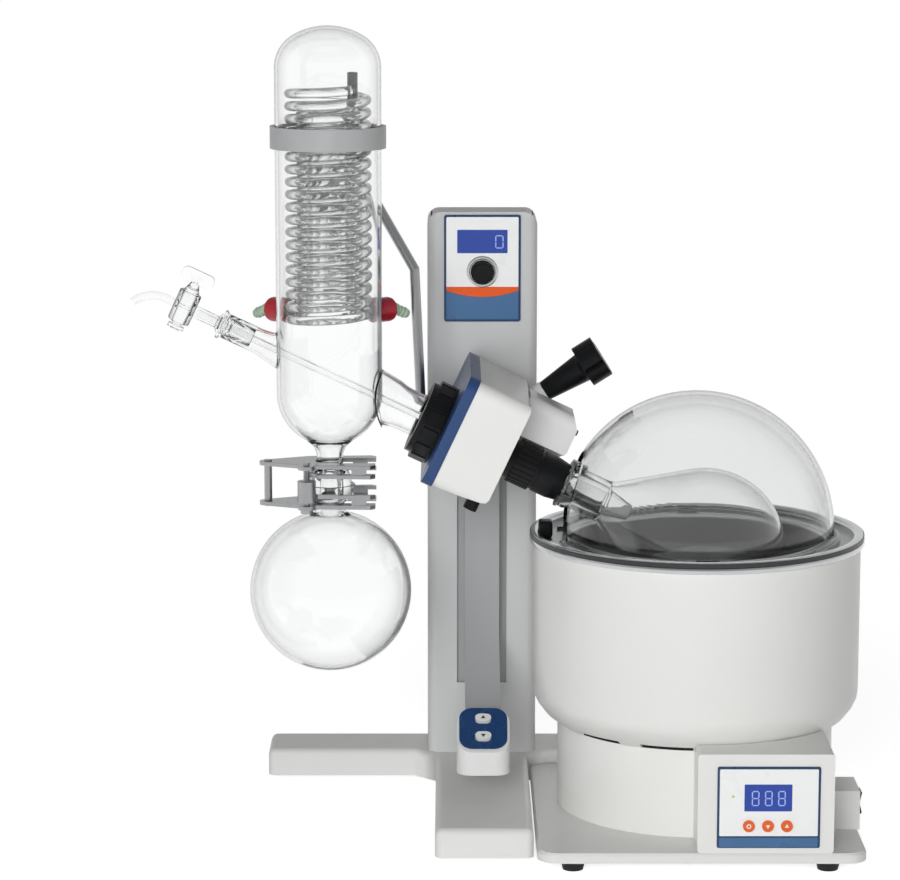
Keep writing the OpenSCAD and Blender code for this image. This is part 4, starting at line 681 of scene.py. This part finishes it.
port_r, port_bore, port_root, port_mouth = 17.3, 15, -92, -46
welded_tube(
    "condenser_port",
    ((19, port_root), (21.6, port_root), (19.6, -82), (18, -76), (port_r, -70), (port_r, -52), (19.4, -50.6),
     (23.2, port_mouth - 4), (24, port_mouth - 3.2), (24, port_mouth - 0.6), (23.4, port_mouth),
     (port_bore, port_mouth), (port_bore, -70), (15.7, -76), (17.2, -82)),
    port_root, right_side=True,
)
inlet_r, inlet_bore, inlet_root, inlet_mouth = 10.3, 8.4, -184, -233.4
welded_tube(
    "feed_inlet",
    ((12, inlet_root), (14, inlet_root), (12, -190), (10.8, -196), (inlet_r, -202),
     (inlet_r, inlet_mouth + 3.8),
     (11.4, inlet_mouth + 2.8), (12.1, inlet_mouth + 2), (12.1, inlet_mouth + 0.6), (11.4, inlet_mouth),
     (inlet_bore, inlet_mouth), (inlet_bore, -202), (8.9, -196), (10, -190)),
    inlet_root, right_side=False,
)
hose_r, hose_bore, hose_z = 7, 4.4, 417
for place, angle in (("left", 140), ("right", 40), ("back", 90)):
    turned(
        f"hose_port_{place}",
        ((hose_bore, 31), (hose_r - 0.8, 31), (hose_r, 31.8), (hose_r, 38), (hose_r, 43), (hose_r, 60),
         (hose_bore, 60)),
        at_condenser @ Matrix.Translation((0, 0, hose_z)) @ Matrix.Rotation(math.radians(angle), 4, "Z")
        @ z_to_x,
        "head", port_glass, steps=32, crease=50, replaced=["condenser_body"],
    )


# Feed line: a fine capillary right through the condenser, the ground cone that fits the inlet, and the
# stopcock's barrel with a bent nozzle beyond it. A ground glass plug turns in the barrel.
def feed_piece(name, section, axis, material, steps):
    """Spins one piece of the feed line."""
    turned(name, section, axis, "head", material, steps=steps, crease=50, replaced=["feed_tube"])


capillary_r, capillary_bore = 3, 1.8
feed_piece(
    "feed_capillary",
    ((capillary_bore, -254), (capillary_r, -254), (capillary_r, 58), (capillary_r - 0.4, 60),
     (capillary_bore, 60)),
    along_spindle, fine_glass, 32,
)
feed_piece(
    "feed_cone",
    ((3.1, -256), (5, -256), (5, -237), (6.4, -235.4), (8.3, -234.6), (8.3, -233), (7.7, -206), (7, -205.4),
     (5.6, -206), (5.2, -230), (3.1, -236)),
    along_spindle, fine_glass, 48,
)
feed_piece(
    "stopcock_barrel", ((5.4, -13), (8.4, -13), (9.2, -12.2), (9.2, 12.2), (8.4, 13), (6.6, 13)),
    head_axis @ Matrix.Translation((-265, 0, 0)), coil_glass, 48,
)
clear_copy("stopcock_key", "stopcock_plug", fine_glass)
nozzle_r, nozzle_bore, nozzle_root, nozzle_start = 3.3, 2, -274, -281
bend_r, bend_turn = 26, 62
feed_piece(
    "nozzle_root",
    ((nozzle_bore, nozzle_start), (nozzle_r, nozzle_start), (nozzle_r, nozzle_root),
     (nozzle_bore, nozzle_root)),
    along_spindle, fine_glass, 20,
)
bm = bmesh.new()
for radius in (nozzle_r, nozzle_bore):
    bmesh.ops.create_circle(bm, segments=20, radius=radius)
bmesh.ops.rotate(bm, cent=(0, 0, 0), matrix=z_to_x.to_3x3(), verts=bm.verts)
bmesh.ops.translate(bm, vec=(nozzle_start, 0, 0), verts=bm.verts)
bmesh.ops.spin(
    bm, geom=bm.verts[:] + bm.edges[:], cent=(nozzle_start, 0, -bend_r), axis=(0, -1, 0),
    angle=math.radians(bend_turn), steps=20, use_merge=False,
)
mouths = [e for e in bm.edges if len(e.link_faces) == 1]
for start in (True, False):
    bmesh.ops.bridge_loops(bm, edges=[e for e in mouths if (e.verts[0].co.x > nozzle_start - 1) == start])
bmesh.ops.recalc_face_normals(bm, faces=bm.faces)
bm.transform(to_metres @ head_axis)
settle(bm, "feed_nozzle", "head", fine_glass, crease=50, replaced=["feed_tube"])

# Rotating flask: pear-shaped, with a thick bead at its mouth. The vapour tube runs through the hollow
# spindle and ends in a ground cone that fits the flask's neck, and both turn with the spindle.
pear_z, pear_r, cone_angle = 198.6, 65.5, 34.5
mouth_r, mouth_z = 14.2, 74
turned(
    "rotating_flask",
    [(mouth_r, mouth_z), (18.2, mouth_z), (19, 74.8), (19, 79), (18.2, 80.2), (17, 81.6), (17, 103),
     (17.3, 106), (18.4, 109.8)]
    + arc((0, pear_z), pear_r, -cone_angle, 90, 48)
    + arc((0, pear_z), pear_r - glass_wall, 90, -cone_angle, 48)
    + [(16, 112.2), (14.8, 109.8), (mouth_r, 108.4), (12.6, 108), (mouth_r, mouth_z + 2)],
    along_spindle, "spindle", clear_glass, steps=96, crease=35, replaced=["evaporating_flask"],
)
duct_r, duct_bore = 10.5, 8
turned(
    "vapour_duct",
    [(duct_bore, -45), (duct_r, -45), (duct_r, 71), (11.2, 73.4), (13.4, 75.4), (14.2, 76.4), (12.6, 107.4),
     (12, 108.6), (duct_r, 111.4), (6.5, 129.4), (5.6, 130), (4.8, 129.6), (7.9, 111.6), (duct_bore, 110)],
    along_spindle, "spindle", fine_glass, steps=64, crease=50, replaced=["vapour_tube"],
)

# Cooling coil: two nested helices of one glass tube, each led in through a hose port. They are joined at the
# top under an open stub of the same glass, coloured opaque dark grey as painted shade. Lead angles are
# counted round the condenser's axis.
tube_r, pitch = 3.9, 10


def around_axis(radius, angle, z):
    """A point at a radius, an angle in degrees and a height round the condenser's axis."""
    return radius * math.cos(math.radians(angle)), radius * math.sin(math.radians(angle)), z


def helix(name, radius, start, turns, low, leads):
    """Winds a tube upwards from its start angle, and adds its straight leads, each between two points."""
    bm = bmesh.new()
    ring = bmesh.ops.create_circle(bm, segments=12, radius=tube_r)["verts"]
    bmesh.ops.rotate(bm, cent=(0, 0, 0), matrix=towards_user.to_3x3(), verts=ring)
    bmesh.ops.translate(bm, vec=(radius, 0, low), verts=ring)
    bmesh.ops.rotate(bm, cent=(0, 0, 0), matrix=Matrix.Rotation(math.radians(start), 3, "Z"), verts=ring)
    steps = round(turns * 36)
    bmesh.ops.spin(
        bm, geom=bm.verts[:] + bm.edges[:], cent=(0, 0, 0), axis=(0, 0, 1),
        dvec=(0, 0, turns * pitch / steps),
        angle=math.radians(360 * turns), steps=steps, use_merge=False,
    )
    for near, far in leads:
        path = Vector(far) - Vector(near)
        tube = bmesh.ops.create_cone(
            bm, cap_ends=True, segments=12, radius1=tube_r, radius2=tube_r, depth=path.length
        )
        lies = path.to_track_quat("Z", "Y").to_matrix().to_4x4()
        lies.translation = (Vector(near) + Vector(far)) / 2
        bmesh.ops.transform(bm, matrix=lies, verts=tube["verts"])
    bmesh.ops.holes_fill(bm, edges=[e for e in bm.edges if len(e.link_faces) == 1], sides=12)
    bmesh.ops.recalc_face_normals(bm, faces=bm.faces)
    bm.transform(to_metres @ at_condenser)
    return settle(bm, name, "head", coil_glass, crease=60, replaced=["condenser_coil"])


outer_r, outer_start, outer_turns, outer_low = 31, 165, 18.4, 414
inner_r, inner_start, inner_turns, inner_low = 22.5, 50, 16.945, 413
outer_end = around_axis(outer_r, outer_start + 360 * outer_turns, outer_low + outer_turns * pitch)
inner_x, inner_y = around_axis(inner_r, inner_start + 360 * inner_turns, 0)[:2]
helix("cooling_coil_outer", outer_r, outer_start, outer_turns, outer_low, (
    (around_axis(48, 140, hose_z), around_axis(37, 140, hose_z)),
    (around_axis(37.6, 140, hose_z), around_axis(outer_r, outer_start - 1, outer_low)),
    (outer_end, (inner_x, inner_y, 596)),
))
helix("cooling_coil_inner", inner_r, inner_start, inner_turns, inner_low, (
    (around_axis(48, 40, hose_z), around_axis(37, 40, hose_z)),
    (around_axis(37.6, 40, hose_z), around_axis(inner_r, inner_start, inner_low)),
))
shaded_stub = coated("coil stub glass, dark as painted shade", (0.11, 0.115, 0.12), rough=(0.12, 0.2), uneven=0.8, coat=0.3)
stub_r, stub_bore, stub_top = 4.3, 2.4, 610
turned(
    "coil_stub",
    ((stub_bore, 581), (stub_r, 581), (stub_r, stub_top), (stub_r - 0.4, stub_top + 0.6),
     (stub_bore + 0.4, stub_top + 0.6), (stub_bore, stub_top)),
    at_condenser @ Matrix.Translation((inner_x, inner_y, 0)), "head", shaded_stub, steps=32, crease=50,
    replaced=["condenser_coil"],
)

# Fittings on the glass. Red nuts press the green hose nozzles onto the ports. A ring clamp on a bent rod
# holds the condenser, two steel forks close round the ball joint, and a spring clip keeps the rotating
# flask on.
red_cap = coated("red cap", (0.5, 0.012, 0.03), rough=(0.3, 0.42), uneven=0.85, coat=0.1)
pale_green = coated("pale green nylon", (0.5, 0.66, 0.5), rough=(0.35, 0.5))
satin_steel = metallic("plated steel", (0.44, 0.45, 0.46), rough=(0.25, 0.4))
band_grey = coated("satin grey band", (0.42, 0.43, 0.435), rough=(0.3, 0.42))
softened("hose_caps", "hose_nuts", red_cap, width=0.4)
softened("hose_barbs", "hose_nozzles", pale_green, width=0.2)
softened("support_rod", "bent_support_rod", satin_steel, width=0.3)
softened("condenser_clamp", "ring_clamp", band_grey, width=0.8)
softened("clamp_upper_fork", "upper_fork", satin_steel, width=0.4)
softened("clamp_lower_fork", "lower_fork", satin_steel, width=0.4)
softened("flask_clip", "spring_clip", satin_steel, width=0.15)

# Heating bath. A painted jacket on a drum and a base plate, round a bowl pressed from stainless steel whose
# edge is rolled over the jacket. The rolled rim holds a dark seal, and a black ring behind the vents is
# painted shadow that darkens the slots.
softened("bath_base", "bath_plate", white_powder, width=1.0)
softened("bath_pedestal", "bath_drum", satin_white, width=0.5)
softened("bath_shell", "bath_jacket", satin_white, width=0.5)
at_bath = Matrix.Translation((173, glass_y, 0))


def bath_ring(name, section, material, crease=35, replaced=()):
    """Spins a round piece of the bath about its upright axis."""
    turned(name, section, at_bath, "bath", material, steps=128, crease=crease, replaced=replaced)


# The bowl's stainless is coloured much darker than the rim's: a painted dark reflection, for what its
# upturned surfaces mirror from above.
darkened_pot_steel = metallic("drawn stainless, dark as painted reflection", (0.33, 0.335, 0.34), rough=(0.27, 0.33), streak=60, bump=0.01)
rolled_steel = metallic("rolled stainless rim", (0.58, 0.59, 0.6), rough=(0.1, 0.2), streak=260)
bowl_r, sheet, bowl_floor, bowl_corner, flange_z = 104, 1.5, 100, 16, 236
corner = (bowl_r - bowl_corner, bowl_floor + bowl_corner)
bath_ring(
    "bath_bowl",
    [(0, bowl_floor), (corner[0], bowl_floor)] + arc(corner, bowl_corner, -84, 0, 14)
    + [(bowl_r, flange_z - 4)]
    + arc((bowl_r + 3, flange_z - 3), 3, 180, 90, 6)
    + [(126, flange_z), (126, 234.4), (107.5, 234.4), (105.5, 232.4), (bowl_r + sheet, corner[1])]
    + arc(corner, bowl_corner + sheet, 0, -84, 14)
    + [(corner[0], bowl_floor - sheet), (0, bowl_floor - sheet)],
    darkened_pot_steel, replaced=["bath_pot"],
)
rim_r, rim_top, groove_r = 135.5, 242, 134.5
bath_ring(
    "bath_rim",
    [(126, 235.2), (126, 238.4), (126.4, 240.2), (127.6, 241.5), (129.2, rim_top), (133.4, rim_top),
     (134.2, rim_top - 0.2), (groove_r, rim_top - 0.7), (groove_r, 237.7), (135.2, 237.5), (rim_r, 237),
     (rim_r, 234.4), (135.1, 233.4), (134.3, 233), (131, 233), (131, 230), (128, 230), (128, 232.8)],
    rolled_steel, replaced=["bath_pot"],
)
rim_seal = coated("dark seal", (0.03, 0.031, 0.033), grain=900, rough=(0.3, 0.42), uneven=0.85)
bath_ring(
    "bath_rim_seal",
    ((groove_r - 0.1, 237.8), (135, 237.8), (135.2, 238.1), (135.2, 240.9), (135, 241.2),
     (groove_r - 0.1, 241.2)),
    rim_seal, crease=30,
)
# A black ring behind the vent slots is painted shadow: it darkens the slots, where the pedestal's white
# would show.
bath_ring(
    "vent_shadow_ring", ((112.3, 87.1), (112.75, 87.1), (112.75, 91), (112.3, 91)),
    black_moulding, crease=30,
)

# Splash dome. A clear moulded dome over the bath stands on two black stops, and a black catch sits on the
# rim's left side.
clear_copy("dome_cover", "splash_dome", dome_clear)
stop_foot, stop_height = 0.236, 0.65
stops = softened("dome_clips", "dome_stops", black_moulding, width=0.6)
for v in stops.data.vertices:
    v.co.z = stop_foot + (v.co.z - stop_foot) * stop_height
catch_size, catch_place, catch_round = (11.4, 16, 13.6), (50.4, glass_y, 243), 2.6
bm = bmesh.new()
bmesh.ops.create_cube(bm, size=1)
bmesh.ops.scale(bm, vec=catch_size, verts=bm.verts)
bmesh.ops.bevel(
    bm, geom=bm.edges[:], offset=catch_round, segments=4, profile=0.5, affect="EDGES", material=-1
)
bm.transform(to_metres @ Matrix.Translation(catch_place))
settle(bm, "rim_catch", "bath", black_moulding)

# Bath controls. A painted box on the bath's front with a printed film like the column's: a display with
# three digits, a green lamp that shows heating, and three orange buttons with a mark each.
softened("bath_control_box", "bath_controls", satin_white, width=1.2, segments=3)
box_face, bath_plate_thick = -301, 1
film_y = box_face - bath_plate_thick
window_y = film_y - field_thick
film(
    "bath_panel_plate", (220, box_face, 53), (80, 65), bath_plate_thick, 1.5, "bath", frame_blue,
    ["bath_panel"],
)
film("bath_panel_field", (220, film_y, 56.8), (76.4, 53.4), field_thick, 0.8, "bath", panel_white)
film("bath_panel_foot", (220, film_y, 25), (76.4, 7.4), field_thick, 0.6, "bath", print_blue)
film("bath_display", (219.5, window_y, 60.7), (37, 21.5), window_thick, 0.6, "bath", display_blue)
for place, x in (("first", 209.6), ("second", 219.8), ("third", 230.0)):
    digit(f"bath_digit_{place}", (x, window_y - window_thick, 60.3), 5.0, 11.2, "bath")
orange_moulding = coated("orange moulding", (0.8, 0.13, 0.02), rough=(0.3, 0.4), uneven=0.9)
for side in ("left", "middle", "right"):
    softened(f"bath_button_{side}", f"bath_key_{side}", orange_moulding, width=0.5)
key_proud, key_z = 2.8, 38.3
pale_print = coated("pale print", (0.9, 0.85, 0.75), grain=1800, rough=(0.35, 0.45))


def on_key(x):
    """The middle of a button's front, facing the user."""
    return Matrix.Translation((x, box_face - key_proud, key_z)) @ towards_user


arrow("bath_arrow_down", on_key(219.4), 2.0, True, "bath_button_middle", pale_print)
arrow("bath_arrow_up", on_key(234.1), 2.0, False, "bath_button_right", pale_print)
turned(
    "bath_set_mark", ((1.0, 0), (1.0, 0.12), (1.9, 0.12), (1.9, 0)), on_key(204.6), "bath_button_left",
    pale_print, steps=32,
)
lamp_green = coated("indicator lens", (0.5, 0.7, 0.1), rough=(0.1, 0.2), coat=0.5)
turned(
    "heating_lamp", ((0, 0), (1.1, 0), (1.1, 0.25), (0.8, 0.55), (0, 0.7)),
    Matrix.Translation((192.2, window_y, 61.7)) @ towards_user, "bath", lamp_green,
    steps=24,
)
